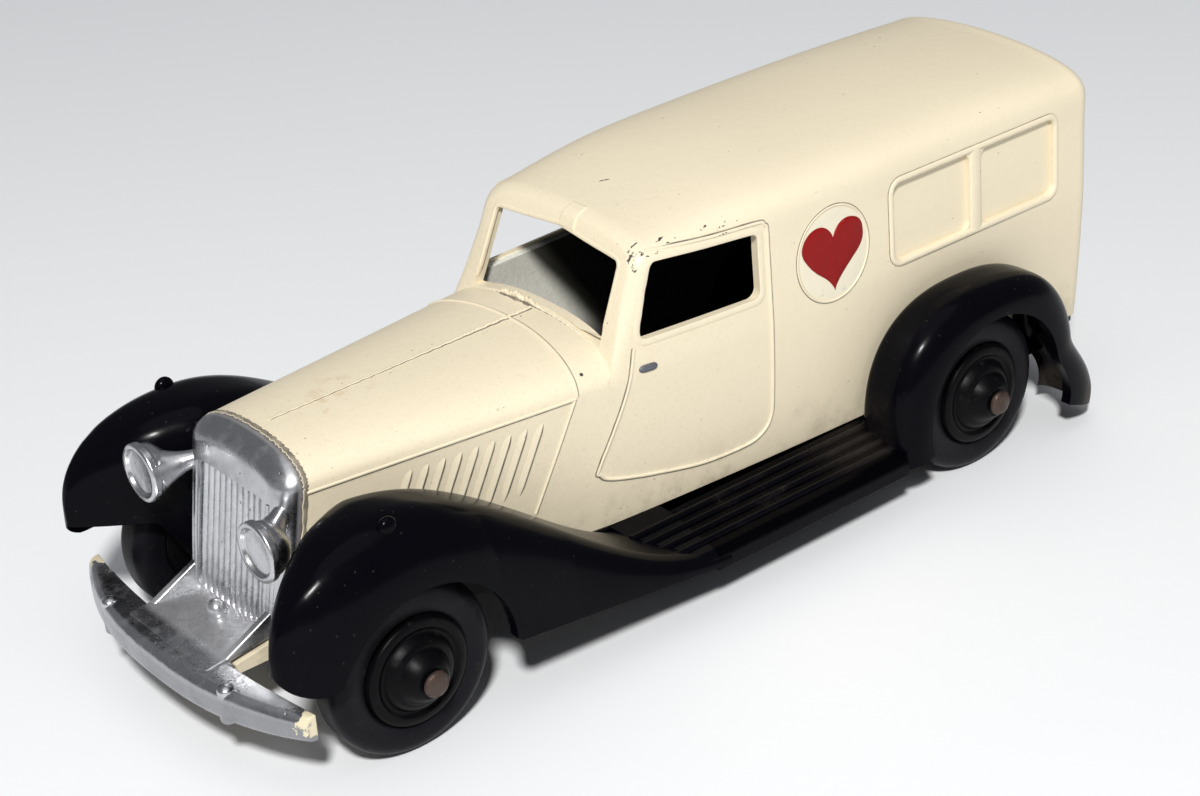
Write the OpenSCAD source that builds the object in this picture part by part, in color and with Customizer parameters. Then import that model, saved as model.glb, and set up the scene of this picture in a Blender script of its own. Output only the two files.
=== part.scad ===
// Die-cast toy ambulance: a hollow body on a winged chassis, with a bright radiator casting and four wheels.
// Millimetres. +X points forward, +Y to the left, +Z up. Origin on the ground under the middle of the toy.

/* [Overall] */
// Distance between the two axles
wheelbase = 67.4; // [62:0.2:74]
// Front axle to the foremost point of the bumper
front_overhang = 15; // [14.4:0.1:17]
// Rear axle to the back of the body
rear_overhang = 21; // [19:0.1:23]
// Thickness of the cast body walls
wall = 1.2; // [0.9:0.1:1.5]
// Gap left between the body and the wings beside it
seat_gap = 0.25; // [0.15:0.05:0.5]

/* [Body] */
// Width of the van body at its waist
van_w = 26.4; // [25.6:0.2:27]
// Width of the body where the bonnet meets the cowl
cowl_w = 22.4; // [21:0.2:23]
// Width of the bonnet behind the radiator
nose_w = 15.6; // [14.8:0.2:16.4]
// Height of the lower edge of the body
sill_z = 8.1; // [7.9:0.05:8.5]
// Height of the waist line of the cab and van
waist_z = 22.2; // [21:0.1:23]
// Height of the bonnet edge behind the radiator
nose_edge_z = 22.3; // [21.6:0.1:23]
// Height of the bonnet along its middle at the cowl
bonnet_z = 25.6; // [25.2:0.1:26.2]
// Height of the bonnet along its middle at the nose
nose_z = 25.2; // [24.6:0.1:25.8]
// Height at which the walls start to roll over into the roof
wall_top_z = 29.6; // [28.5:0.1:30.2]
// Height of the crown of the roof
roof_z = 36; // [35.4:0.1:37.4]
// How far the roof rises from its edges to its crown
roof_crown = 1.3; // [0.8:0.1:1.8]
// How far the crown falls at the windscreen header
header_drop = 1.8; // [1:0.1:2.2]
// How far the sill is tucked in under the waist on each side
tuck = 0.5; // [0.2:0.1:1]
// How far the wall leans in above the waist at the windscreen
tumblehome = 0.6; // [0.4:0.1:1]
// Slope of the windscreen, backwards for each unit up
screen_lean = 0.42; // [0.3:0.02:0.5]
// Slope of the nose, backwards for each unit up
nose_rake = 0.17; // [0.1:0.01:0.2]
// How far the foot of the back stands ahead of its top
back_lean = 0.5; // [0.2:0.1:0.8]
// Rounding of the roof into the back, seen from the side
tail_round = 2; // [1.5:0.1:3]
// Rounding of the back corners, seen from above
corner_round = 1.8; // [1.2:0.1:2.6]
// Rounding of the windscreen pillars, seen from above
pillar_round = 1.4; // [0.8:0.1:1.8]
// Rounding of the roof down to the windscreen header
brow_round = 0.7; // [0.4:0.1:1]

/* [Openings and panels] */
// Height of the lower edge of the door windows
light_bottom_z = 25.2; // [24.6:0.1:26]
// Height of the upper edge of the door windows
light_top_z = 31.6; // [30.8:0.1:32]
// Length of the door windows along their lower edge
light_l = 13.4; // [11:0.1:14]
// Half width of the windscreen opening
screen_half_w = 9.1; // [8.4:0.1:9.2]
// Depth of the blind windows in the van sides
blind_depth = 0.45; // [0.3:0.05:0.6]
// Length of each blind window
blind_l = 10.2; // [8:0.1:11]
// Height of each blind window
blind_h = 7.8; // [6:0.1:8.2]
// Diameter of the round panel on the van side
disc_d = 9.3; // [7:0.1:10]
// Height of the raised lines and frames above the wall
bead_h = 0.22; // [0.15:0.01:0.3]
// Number of louvres in each bonnet side
louvre_count = 9; // [5:1:9]
// Distance from one louvre to the next
louvre_pitch = 1.6; // [1.4:0.05:1.65]

/* [Chassis] */
// Distance from the middle plane to the outer face of the wings
wing_y = 19.8; // [19.4:0.1:20.6]
// Height of the crest of the front wings
front_wing_z = 22.7; // [21.5:0.1:23.4]
// Height of the crest of the rear wings
rear_wing_z = 19.9; // [19.2:0.1:21]
// Thickness of the wing shells
wing_t = 1.1; // [0.8:0.1:1.3]
// Clearance between the tyre and the edge of the wheel arch
arch_gap = 0.8; // [0.6:0.1:1.2]
// Thickness of the floor plate
floor_t = 1.3; // [1:0.1:1.6]
// Number of ribs along each running board
rib_count = 4; // [2:1:5]
// Diameter of the cast posts that hold the body to the floor
post_d = 2.6; // [2:0.1:3]
// Outer diameter of the bosses that carry the axles
boss_d = 4.4; // [4:0.1:5]

/* [Wheels] */
// Outer diameter of the tyres
tyre_d = 16.1; // [15:0.1:16.6]
// Width of the tyres
tyre_w = 4; // [3.4:0.1:4.2]
// Distance from the middle plane to the outer face of the tyres
tyre_y = 17.4; // [17.2:0.1:17.8]
// Diameter of the seat of the tyre on its hub
rim_d = 10.1; // [9:0.1:11]
// How far the middle of the hub stands out from the tyre
hub_dome = 2.4; // [1.9:0.1:2.6]
// Diameter of the axle wire
axle_d = 1.6; // [1.4:0.05:1.8]
// Radial clearance of the axle in its bosses and of the hubs on the axle
run_gap = 0.05; // [0.03:0.01:0.08]
// Diameter of the heads on the axle ends
head_d = 2.4; // [2.2:0.1:2.8]
// Length of the heads on the axle ends
head_l = 0.6; // [0.5:0.1:0.9]
// End play between a hub and the parts beside it
end_play = 0.2; // [0.15:0.05:0.4]

/* [Radiator and bumper] */
// Depth of the radiator shell, front to back
shell_t = 2; // [1.6:0.1:2.6]
// How far the shell is drawn in from the nose to its front face
shell_round = 2.4; // [1.6:0.1:2.8]
// How far the flanks of the shell are drawn in towards the foot
shell_tuck = 0.5; // [0.2:0.1:1]
// Number of slats in the grille
slat_count = 11; // [7:1:13]
// Diameter of the headlamps
lamp_d = 5.4; // [4.6:0.1:5.8]
// Distance from the middle plane to the middle of a headlamp
lamp_y = 9.1; // [8.8:0.1:9.2]
// Height of the middle of the headlamps
lamp_z = 19.6; // [19:0.1:20.2]
// Front axle to the front of the headlamps
lamp_lead = 8.9; // [8:0.1:9.6]
// Width of the bumper from tip to tip
bumper_w = 34.6; // [31:0.2:36]
// How far the middle of the bumper stands ahead of its tips
bumper_bow = 4; // [3:0.1:4.5]
// Height of the lower edge of the bumper
bumper_z = 5.7; // [5.2:0.1:6.2]
// Height of the bumper blade
bumper_h = 3.1; // [2.6:0.1:3.4]

/* [Hidden] */

cream = [0.93, 0.87, 0.70];
gloss_black = [0.05, 0.05, 0.07];
bright_metal = [0.68, 0.69, 0.71];
rubber_black = [0.09, 0.09, 0.10];
rusty_steel = [0.42, 0.32, 0.27];

// Places along the toy
overall_l = front_overhang + wheelbase + rear_overhang;
front_axle_x = overall_l / 2 - front_overhang;
rear_axle_x = front_axle_x - wheelbase;
axle_z = tyre_d / 2;
back_x = -overall_l / 2 + bead_h;
nose_x = front_axle_x + 5.2;
cowl_x = front_axle_x - 24;
screen_x = front_axle_x - 28;
taper_x = rear_axle_x + 2.2;
lamp_front_x = front_axle_x + lamp_lead;

// Fine points of the body form
edge_fade_l = 20;
roof_rise_l = 24;
roof_fall_l = 20;
roof_fall = 0.5;
roof_power = 6;
header_crown = 0.8;
bonnet_power = 2.3;
van_tumble = 0.3;
cavity_drop = 1;

function mix(a, b, t) = a + (b - a) * t;
function clamp01(t) = min(max(t, 0), 1);
function ease(t) = let (u = clamp01(t)) u * u * (3 - 2 * u);
function round_drop(t) = 1 - sqrt(max(0, 1 - pow(clamp01(t), 2)));

// One quarter of a superellipse: angle 0 gives [1, 0] and angle 90 gives [0, 1]
function super_quarter(angle, power) = [
    pow(max(0, cos(angle)), 2 / power),
    pow(max(0, sin(angle)), 2 / power)
];

// Points of an outline with every corner turned into an arc
function rounded(points, r, steps = 4) = [
    for (i = [0:len(points) - 1])
        let (
            p = points[i],
            a = points[(i + len(points) - 1) % len(points)] - p,
            b = points[(i + 1) % len(points)] - p,
            ua = a / norm(a),
            ub = b / norm(b),
            half = acos(ua * ub) / 2,
            bisector = (ua + ub) / norm(ua + ub),
            centre = p + bisector * r / sin(half),
            from = atan2((p + ua * r / tan(half) - centre).y, (p + ua * r / tan(half) - centre).x),
            to = atan2((p + ub * r / tan(half) - centre).y, (p + ub * r / tan(half) - centre).x),
            turn = (to - from + 540) % 360 - 180
        )
        for (k = [0:steps]) centre + r * [cos(from + turn * k / steps), sin(from + turn * k / steps)]
];

// Triangles between rings of n points, s rings in all
function skin_faces(n, s) = [
    for (i = [0:s - 2], k = [0:n - 1])
        let (a = i * n + k, b = i * n + (k + 1) % n)
        each [[a, b, b + n], [a, b + n, a + n]]
];

// A solid through rings that a fan from their first point can close
module fan_loft(rings) {
    n = len(rings[0]);
    s = len(rings);
    last = (s - 1) * n;
    polyhedron(
        points = [for (ring = rings) each ring],
        faces = concat(
            skin_faces(n, s),
            [for (k = [1:n - 2]) [0, k + 1, k]],
            [for (k = [1:n - 2]) [last, last + k, last + k + 1]]
        )
    );
}

// A solid through rings of two facing curves, outer points first and inner points back again
module band_loft(rings) {
    n = len(rings[0]);
    s = len(rings);
    last = (s - 1) * n;
    polyhedron(
        points = [for (i = [s - 1:-1:0]) each rings[i]],
        faces = concat(
            skin_faces(n, s),
            [for (k = [0:n / 2 - 2]) each [[k, n - 2 - k, k + 1], [k, n - 1 - k, n - 2 - k]]],
            [for (k = [0:n / 2 - 2])
                each [[last + k, last + k + 1, last + n - 2 - k], [last + k, last + n - 2 - k, last + n - 1 - k]]]
        )
    );
}

// Half width at the waist: parallel at the back, drawn in along a parabola to the cowl, straight to the nose
function waist_half(x) = x > cowl_x
    ? mix(cowl_w, nose_w, (x - cowl_x) / (nose_x - cowl_x)) / 2
    : mix(van_w, cowl_w, pow(clamp01((x - taper_x) / (cowl_x - taper_x)), 2)) / 2;

function corner_loss(x) = corner_round * round_drop(1 - (x - back_x) / corner_round);

function roof_height(x) = roof_z
    - header_drop * pow(1 - clamp01((screen_x - x) / roof_rise_l), 2)
    - roof_fall * pow(clamp01((taper_x - x) / roof_fall_l), 2)
    - tail_round * round_drop(1 - (x - back_x) / tail_round)
    - brow_loss(x, brow_round);

// The cab is drawn in at the windscreen, more so towards the roof
function brow_loss(x, share) = x > screen_x ? 0 : share * round_drop(1 - (screen_x - x) / pillar_round);

function crown_rise(x) = mix(header_crown, roof_crown, ease((screen_x - x) / roof_rise_l));

function bonnet_height(x) = mix(bonnet_z, nose_z, clamp01((x - cowl_x) / (nose_x - cowl_x)));
function edge_height(x) = mix(waist_z, nose_edge_z, clamp01((x - cowl_x) / (nose_x - cowl_x)));
function lean_in(x) = mix(tumblehome, van_tumble, ease((screen_x - x) / edge_fade_l)) + brow_loss(x, pillar_round);

// How far a point of a station is moved along X: the nose and the windscreen lean back, and the van back leans out
function screen_fade(x) = x > screen_x
    ? clamp01((cowl_x - x) / (cowl_x - screen_x))
    : 1 - ease((screen_x - x) / edge_fade_l);
function station_shift(x, z) = x > cowl_x
    ? -nose_rake * (z - sill_z) * (x - cowl_x) / (nose_x - cowl_x)
    : screen_lean * (bonnet_z - max(z, waist_z)) * screen_fade(x)
        + back_lean * (roof_z - z) / (roof_z - sill_z) * pow(clamp01((rear_axle_x - x) / (rear_axle_x - back_x)), 2);

// Half width of the van and cab wall at a place on the side
function wall_y(place_x, z) =
    let (
        x = place_x - station_shift(place_x, z),
        w = waist_half(x) - corner_loss(x),
        top = w - lean_in(x)
    )
    z < waist_z
        ? w - tuck * pow(1 - (z - sill_z) / (waist_z - sill_z), 2)
        : z < wall_top_z
            ? mix(w, top, (z - waist_z) / (wall_top_z - waist_z))
            : top * pow(
                max(0, 1 - pow((z - wall_top_z) / (roof_height(x) - crown_rise(x) - wall_top_z), roof_power)),
                1 / roof_power);

// Half of a body section from the sill up to the middle, as [y, z]; counts are [side, pillar, top]
function half_section(x, cab, inset, drop, counts) =
    let (
        w = waist_half(x) - corner_loss(x) - inset,
        edge = edge_height(x),
        top_w = w - lean_in(x),
        rise = crown_rise(x),
        shoulder = roof_height(x) - rise - inset,
        base = sill_z - drop
    )
    concat(
        [for (k = [0:counts[0] - 1])
            let (t = k / counts[0]) [w - tuck * pow(1 - t, 2), mix(base, edge, t)]],
        cab
            ? concat(
                [for (k = [0:counts[1] - 1])
                    let (t = k / counts[1]) [mix(w, top_w, t), mix(edge, wall_top_z, t)]],
                [for (k = [0:counts[2]])
                    let (q = super_quarter(90 * (1 - pow(1 - k / counts[2], 2)), roof_power))
                    [top_w * q[0], mix(wall_top_z, shoulder, q[1]) + rise * (1 - q[0] * q[0])]])
            : [for (k = [0:counts[1] + counts[2]])
                let (q = super_quarter(90 * k / (counts[1] + counts[2]), bonnet_power))
                [w * q[0], mix(edge, bonnet_height(x) - inset, q[1])]]
    );

function body_ring(x, cab, inset, drop, counts) =
    let (
        half = half_section(x, cab, inset, drop, counts),
        last = len(half) - 1,
        place = function(y, z) [x + station_shift(x, z), y, z]
    )
    concat(
        [place(0, half[0][1])],
        [for (k = [0:last]) place(half[k][0], half[k][1])],
        [for (k = [last - 1:-1:0]) place(-half[k][0], half[k][1])]
    );

// The body as a closed form, inset by a wall thickness for its cavity
module body_form(inset, drop, counts, bonnet_steps, brow_steps, cab_steps, round_steps) {
    front = nose_x - inset;
    screen = screen_x - inset;
    screen_step = 0.1;
    back = back_x + inset;
    round_x = back_x + tail_round;
    fan_loft(concat(
        [for (i = [0:bonnet_steps]) body_ring(mix(front, screen, i / bonnet_steps), false, inset, drop, counts)],
        [for (i = [0:brow_steps - 1])
            body_ring(
                mix(screen - screen_step, screen - pillar_round, pow(i / brow_steps, 2)), true, inset, drop, counts)],
        [for (i = [0:cab_steps])
            body_ring(
                mix(screen - pillar_round, round_x, pow(i / cab_steps, 1.2)), true, inset, drop, counts)],
        [for (i = [1:round_steps])
            body_ring(
                mix(round_x, back, sin(90 * i / round_steps)), true, inset, drop, counts)]
    ));
}

// A raised line on the body side along a path of [x, z] points
module side_bead(path, half_w, closed) {
    sink = 0.3;
    flat = 0.45;
    n = len(path);
    rings = [for (i = [0:n - 1])
        let (
            before = path[closed ? (i + n - 1) % n : max(i - 1, 0)],
            after = path[closed ? (i + 1) % n : min(i + 1, n - 1)],
            along = (after - before) / norm(after - before),
            across = [-along.y, along.x] * half_w,
            spot = function(p, lift) [p.x, wall_y(p.x, p.y) + lift, p.y]
        )
        [
            spot(path[i] + across, -sink),
            spot(path[i] + across * flat, bead_h),
            spot(path[i] - across * flat, bead_h),
            spot(path[i] - across, -sink)
        ]];
    if (closed) {
        polyhedron(
            points = [for (ring = rings) each ring],
            faces = [for (i = [0:n - 1], k = [0:3])
                let (a = i * 4 + k, b = i * 4 + (k + 1) % 4, c = ((i + 1) % n) * 4 + k,
                    d = ((i + 1) % n) * 4 + (k + 1) % 4)
                each [[a, b, d], [a, d, c]]]
        );
    } else {
        fan_loft(rings);
    }
}

// Door and side panel places
light_front_x = screen_x - 2.1;
light_back_x = light_front_x - light_l;
door_back_x = light_back_x - 1.4;
disc_x = door_back_x - 7.7;
disc_z = waist_z + 4.35;
blind_front_x = disc_x - 7.65;
blind_z = waist_z + 0.9;
blind_bar = 1.7;
bead_w = 0.32;

light_outline = rounded([
    [light_front_x + 0.4, light_bottom_z - 0.2],
    [light_front_x - 2, light_top_z + 0.7],
    [light_back_x - 0.6, light_top_z],
    [light_back_x - 0.6, light_bottom_z - 0.5]
], 1);

door_line = [
    [light_front_x + 1, light_bottom_z - 0.5],
    [light_front_x + 2, waist_z - 1.5],
    [light_front_x + 4.8, waist_z - 7.6],
    [light_front_x + 4.8, waist_z - 8.5],
    [light_front_x + 3.4, waist_z - 9.4],
    [light_front_x - 1.5, waist_z - 10.6],
    [light_front_x - 6.5, waist_z - 11.5],
    [door_back_x + 3.2, waist_z - 11.6],
    [door_back_x + 1.2, waist_z - 11],
    [door_back_x + 0.2, waist_z - 9.6],
    [door_back_x, waist_z - 7],
    [door_back_x, waist_z],
    [door_back_x, light_top_z - 1],
    [door_back_x + 0.3, light_top_z + 0.3],
    [door_back_x + 1.2, light_top_z + 0.7],
    [light_back_x + 5, light_top_z + 0.9],
    [light_front_x - 2.2, light_top_z + 1.3]
];

// Windscreen opening seen from the front: its foot follows the crown of the bonnet
screen_foot = [for (k = [-3:3])
    let (y = k / 3 * screen_half_w)
    [y, mix(waist_z, bonnet_z, pow(1 - pow(abs(y) * 2 / cowl_w, bonnet_power), 1 / bonnet_power)) + 0.1]];
screen_outline = concat(screen_foot, rounded([
    [screen_half_w, bonnet_z],
    [screen_half_w - 0.3, light_top_z + 0.4],
    [0, light_top_z + 1.1],
    [-screen_half_w + 0.3, light_top_z + 0.4],
    [-screen_half_w, bonnet_z]
], 0.7));

function blind_outline(first_x, last_x, grow) = rounded([
    [first_x + grow, blind_z - grow],
    [first_x + grow, blind_z + blind_h + grow],
    [last_x - grow, blind_z + blind_h + grow],
    [last_x - grow, blind_z - grow]
], 0.9 + grow);

blind_starts = [blind_front_x, blind_front_x - blind_l - blind_bar];
bar_x = blind_starts[1] + blind_bar / 2;
blind_tilt = atan2(
    wall_y(blind_front_x, blind_z) - wall_y(blind_front_x, blind_z + blind_h), blind_h);

// Pocket of a blind window, its floor leaning with the wall
module blind_pocket(first_x) {
    reach = 3;
    translate([0, wall_y(first_x, blind_z) - blind_depth, blind_z])
        rotate([90 + blind_tilt, 0, 0])
            translate([0, -blind_z, -reach])
                linear_extrude(height = reach)
                    polygon(blind_outline(first_x, first_x - blind_l, 0));
}

// The raised lines of one body side
module side_lines() {
    side_bead(door_line, bead_w, false);
    side_bead(blind_outline(blind_front_x, blind_starts[1] - blind_l, bead_w), bead_w, true);
    side_bead([for (t = [0:0.25:1]) [bar_x, blind_z + blind_h * t]], blind_bar / 2, false);
    side_bead(
        [for (k = [0:31]) [disc_x, disc_z] + disc_d / 2 * [cos(k * 11.25), sin(k * 11.25)]], bead_w * 0.8, true);
}

// The louvres of one bonnet side: slanted ridges, each with a sharp back edge
module louvres() {
    louvre_lean = 24;
    louvre_h = 6.4;
    louvre_deep = 0.45;
    louvre_out = 0.32;
    top_gap = 1.4;
    first_x = cowl_x + 4.2;
    slope = atan2((cowl_w - nose_w) / 2, nose_x - cowl_x);
    for (i = [0:louvre_count - 1]) {
        x = first_x + i * louvre_pitch;
        translate([x, waist_half(x), edge_height(x) - top_gap])
            rotate([0, 0, -slope])
                rotate([0, -louvre_lean, 0])
                    translate([0, 0, -louvre_h])
                        linear_extrude(height = louvre_h)
                            polygon([[0, -louvre_deep], [0, louvre_out], [1, 0.02], [1, -louvre_deep]]);
    }
}

// Raised outlines of the two back doors
module back_lines() {
    sink = 0.3;
    half_w = 8.6;
    bottom_z = sill_z + 2.4;
    top_z = wall_top_z + 1.4;
    line_w = 2 * bead_w;
    outline = [[half_w, bottom_z], [half_w, top_z], [-half_w, top_z], [-half_w, bottom_z]];
    inner = [for (p = outline) p - line_w * [sign(p.x), p.y > waist_z ? 1 : -1]];
    translate([back_x, 0, roof_z])
        rotate([0, -atan(back_lean / (roof_z - sill_z)), 0])
            translate([sink, 0, -roof_z])
                rotate([90, 0, -90])
                    linear_extrude(height = sink + bead_h) {
                        difference() {
                            polygon(rounded(outline, 1.6));
                            polygon(rounded(inner, 1.6 - line_w));
                        }
                        translate([-line_w / 2, bottom_z + bead_w])
                            square([line_w, top_z - bottom_z - line_w]);
                    }
}

tongue_root = 1;
tongue_l = 5.4;

// Tongue at the foot of the nose that carries the radiator casting
module tongue() {
    half_w = nose_w / 2 - 1.3;
    low_z = sill_z - 0.7;
    translate([0, half_w, 0])
        rotate([90, 0, 0])
            linear_extrude(height = 2 * half_w)
                polygon([
                    [nose_x - tongue_root, low_z], [nose_x - tongue_root, sill_z + 1.1], [nose_x, sill_z + 1.1],
                    [nose_x + tongue_l, sill_z + 0.2], [nose_x + tongue_l, low_z]
                ]);
}

front_post_x = front_axle_x - 12;
rear_post_x = back_x + wall + 1.9;
rivet_h = 0.6;
post_gap = 0.05;
floor_bottom_z = sill_z - floor_t;

// A cast post with its end spun over under the floor
module post(x, top_z) {
    translate([x, 0, floor_bottom_z - rivet_h])
        cylinder(d = post_d, h = top_z - floor_bottom_z + rivet_h, $fn = 48);
    translate([x, 0, sill_z])
        cylinder(d = post_d + 1.4, h = top_z - sill_z, $fn = 48);
    translate([x, 0, floor_bottom_z - rivet_h])
        cylinder(d1 = post_d + 0.4, d2 = post_d + 1.2, h = rivet_h, $fn = 48);
}

arch_r = tyre_d / 2 + arch_gap;

module body_casting() {
    color(cream) {
        difference() {
            union() {
                difference() {
                    body_form(0, 0, [5, 5, 12], 12, 4, 14, 8);
                    body_form(wall, cavity_drop, [3, 3, 8], 8, 2, 9, 4);
                }
                side_lines();
                mirror([0, 1, 0]) side_lines();
                louvres();
                mirror([0, 1, 0]) louvres();
                back_lines();
                tongue();
                post(front_post_x, nose_z - wall / 2);
                post(rear_post_x, waist_z);
            }
            translate([0, van_w, 0])
                rotate([90, 0, 0])
                    linear_extrude(height = 2 * van_w)
                        polygon(light_outline);
            translate([screen_x - 5.5, 0, 0])
                rotate([90, 0, 90])
                    linear_extrude(height = 8)
                        polygon(screen_outline);
            for (first_x = blind_starts) {
                blind_pocket(first_x);
                mirror([0, 1, 0]) blind_pocket(first_x);
            }
            translate([rear_axle_x, 0, axle_z])
                rotate([90, 0, 0])
                    cylinder(r = arch_r + 0.4, h = 2 * van_w, center = true, $fn = 96);
            translate([front_axle_x, 0, axle_z])
                rotate([90, 0, 0])
                    cylinder(d = axle_d + 1.2, h = 2 * van_w, center = true, $fn = 48);
        }
    }
}

// Front wing, worked out along X
wing_tip_x = front_axle_x + 12.9;
wing_peak_x = front_axle_x + 1.3;
wing_tail_x = front_axle_x - 33;
wing_tip_z = 14.2;
wing_tail_z = sill_z - 1.6;
wing_low_z = 10.8;
wing_nose_z = 13.2;
wing_edge = 0.8;
skirt_front_z = 7.9;
skirt_tail_z = 5;
plan_x = front_axle_x + 4.6;
tip_y = wing_y - 3.6;
inner_plan_x = front_axle_x + 1.2;
inner_plan_power = 1.15;

function crest_z(x) = x > wing_peak_x
    ? mix(wing_tip_z, front_wing_z, sqrt(max(0, 1 - pow((x - wing_peak_x) / (wing_tip_x - wing_peak_x), 2))))
    : mix(wing_tail_z, front_wing_z, (1 + cos(180 * (wing_peak_x - x) / (wing_peak_x - wing_tail_x))) / 2);

function tip_factor(x) = sqrt(max(0, 1 - pow(clamp01((x - plan_x) / (wing_tip_x - plan_x)), 2)));
function wing_outer(x) = mix(tip_y, wing_y, tip_factor(x));
function inner_factor(x) =
    let (s = clamp01((x - inner_plan_x) / (wing_tip_x - inner_plan_x)))
    max(pow(1 - pow(s, inner_plan_power), 1 / inner_plan_power), 0.12 * tip_factor(x));
function wing_inner(x) = mix(tip_y, waist_half(min(x, nose_x)) + seat_gap, inner_factor(x));
function wing_crest_y(x) = mix(wing_inner(x), wing_outer(x), mix(0.78, 0.56, ease((x - wing_tail_x) / 24)));

function skirt_z(x) = x > front_axle_x
    ? mix(wing_low_z, wing_nose_z, round_drop((x - front_axle_x - arch_r) / (wing_tip_x - front_axle_x - arch_r)))
    : mix(skirt_tail_z, skirt_front_z, clamp01((x - wing_tail_x) / (front_axle_x - arch_r - wing_tail_x)));
function arch_z(x) = let (d = x - front_axle_x)
    abs(d) < arch_r ? axle_z + sqrt(arch_r * arch_r - d * d) : 0;
function wing_bottom(x) = min(max(skirt_z(x), arch_z(x)), crest_z(x) - wing_edge);

// A wing section from its inner edge over the crest to the lower outer edge, as [y, z]
function wing_curve(inner, inner_z, crest_y, top, outer, bottom, counts) = concat(
    [for (k = [0:counts[0] - 1])
        let (q = super_quarter(90 * k / counts[0], 4))
        [mix(crest_y, inner, q[0]), mix(inner_z, top, q[1])]],
    [for (k = [0:counts[1]])
        let (
            q = super_quarter(90 * k / counts[1], 2.2),
            round_z = max(bottom + 0.05, top - 7.5)
        )
        [mix(crest_y, outer, q[1]), mix(round_z, top, q[0])]],
    [[outer, bottom]]
);

function band(outer_curve, inner_curve, place) = concat(
    [for (p = outer_curve) place(p)],
    [for (k = [len(inner_curve) - 1:-1:0]) place(inner_curve[k])]
);

function front_wing_ring(x) =
    let (
        t = wing_t,
        counts = [5, 7],
        base = mix(sill_z - 0.6, wing_nose_z - 0.2, ease((x - nose_x + 2) / 4)),
        top = crest_z(x),
        low = min(base, top - wing_edge),
        thin = min(t, 0.3 * (wing_outer(x) - wing_inner(x))),
        full = ease(2 * (x - front_axle_x - arch_r) / (wing_tip_x - front_axle_x - arch_r)),
        under = min(wing_bottom(x), top - thin - 0.3),
        roof = mix(top - thin, max(low, under) + 0.2, full)
    )
    band(
        wing_curve(wing_inner(x), low, wing_crest_y(x), top, wing_outer(x), wing_bottom(x), counts),
        wing_curve(
            wing_inner(x) + thin, low, wing_crest_y(x), roof, wing_outer(x) - thin, under, counts),
        function(p) [x, p[0], p[1]]
    );

module front_wing() {
    tip_parts = [0.9985, 0.985, 0.95, 0.88, 0.79, 0.7];
    tail_steps = 12;
    band_loft(concat(
        [for (f = tip_parts) front_wing_ring(mix(wing_peak_x, wing_tip_x, f))],
        [for (a = [20:10:180]) front_wing_ring(front_axle_x + arch_r * cos(a))],
        [for (i = [1:tail_steps]) front_wing_ring(mix(front_axle_x - arch_r, wing_tail_x, i / tail_steps))]
    ));
    translate([front_axle_x + 1.1, wing_y - 2.8, crest_z(front_axle_x + 1.1) - 0.8])
        sphere(r = 0.75, $fn = 24);
}

// Rear wing, worked out round the rear axle
rear_wing_front_a = 12.4;
rear_wing_back_a = 12.6;
rear_wing_power = 2.4;
rear_from = -17;
rear_to = 203;
tail_flip = 4.4;
tail_flip_from = 168;

function rear_crest_r(a) =
    pow(
        pow(abs(cos(a)) / (a < 90 ? rear_wing_front_a : rear_wing_back_a), rear_wing_power)
        + pow(abs(sin(a)) / (rear_wing_z - axle_z), rear_wing_power),
        -1 / rear_wing_power)
    + tail_flip * ease((a - tail_flip_from) / (rear_to - tail_flip_from));

function rear_wing_ring(a) =
    let (
        t = wing_t,
        counts = [4, 6],
        top = rear_crest_r(a),
        inner = van_w / 2 + seat_gap,
        crest_y = mix(inner, wing_y, 0.52),
        low = top - 2,
        bottom = arch_r + tail_flip * 0.6 * ease((a - tail_flip_from) / (rear_to - tail_flip_from))
    )
    band(
        wing_curve(inner, low, crest_y, top, wing_y, bottom, counts),
        wing_curve(inner, low - t, crest_y, top - t, wing_y - t, bottom, counts),
        function(p) [rear_axle_x + p[1] * cos(a), p[0], axle_z + p[1] * sin(a)]
    );

module rear_wing() {
    steps = 22;
    band_loft([for (i = [0:steps]) rear_wing_ring(mix(rear_from, rear_to, i / steps))]);
}

// Running board: a sloping ribbed plate with a rolled outer edge, which stops where the front wing takes over
module running_board() {
    board_y = wing_y - 0.2;
    edge_r = 1;
    edge_y = board_y - edge_r;
    edge_z = 6.8;
    low_z = 4.7;
    inner_y = cowl_w / 2 - 1;
    flat_y = van_w / 2 - 0.3;
    front_x = wing_tail_x + 7;
    lip_x = wing_tail_x + 1.5;
    rear_x = rear_axle_x + rear_wing_front_a - wing_t / 2;
    rib_r = 0.38;
    rib_pitch = (edge_y - flat_y) / (rib_count + 0.5);
    plate = [[flat_y, floor_bottom_z], [inner_y, floor_bottom_z], [inner_y, sill_z], [flat_y, sill_z]];
    rolled_edge = [for (k = [0:5]) [edge_y, edge_z - edge_r] + edge_r * [sin(k * 18), cos(k * 18)]];
    lip = [[board_y, low_z], [board_y - floor_t, low_z], [board_y - floor_t, edge_z - floor_t]];
    translate([rear_x, 0, 0])
        rotate([90, 0, 90]) {
            linear_extrude(height = lip_x - rear_x) {
                polygon(concat(plate, rolled_edge, lip));
                for (i = [0:rib_count - 1]) {
                    out = rib_pitch * (i + 0.8);
                    translate([flat_y + out, mix(sill_z, edge_z, out / (edge_y - flat_y))])
                        circle(r = rib_r, $fn = 24);
                }
            }
            linear_extrude(height = front_x - rear_x)
                polygon(concat(plate, [[edge_y, edge_z], [edge_y, edge_z - floor_t]]));
        }
}

boss_out_y = tyre_y - tyre_w - 1 - end_play;
boss_in_y = waist_half(front_axle_x) + seat_gap + 0.2;
tunnel_half_w = 2.4;
tunnel_h = 2.2;
slot_half_w = axle_d / 2 + 0.5;
front_tunnel_y = waist_half(front_axle_x) - tuck - wall - 0.4;
rear_tunnel_y = boss_in_y + 0.5;

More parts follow.
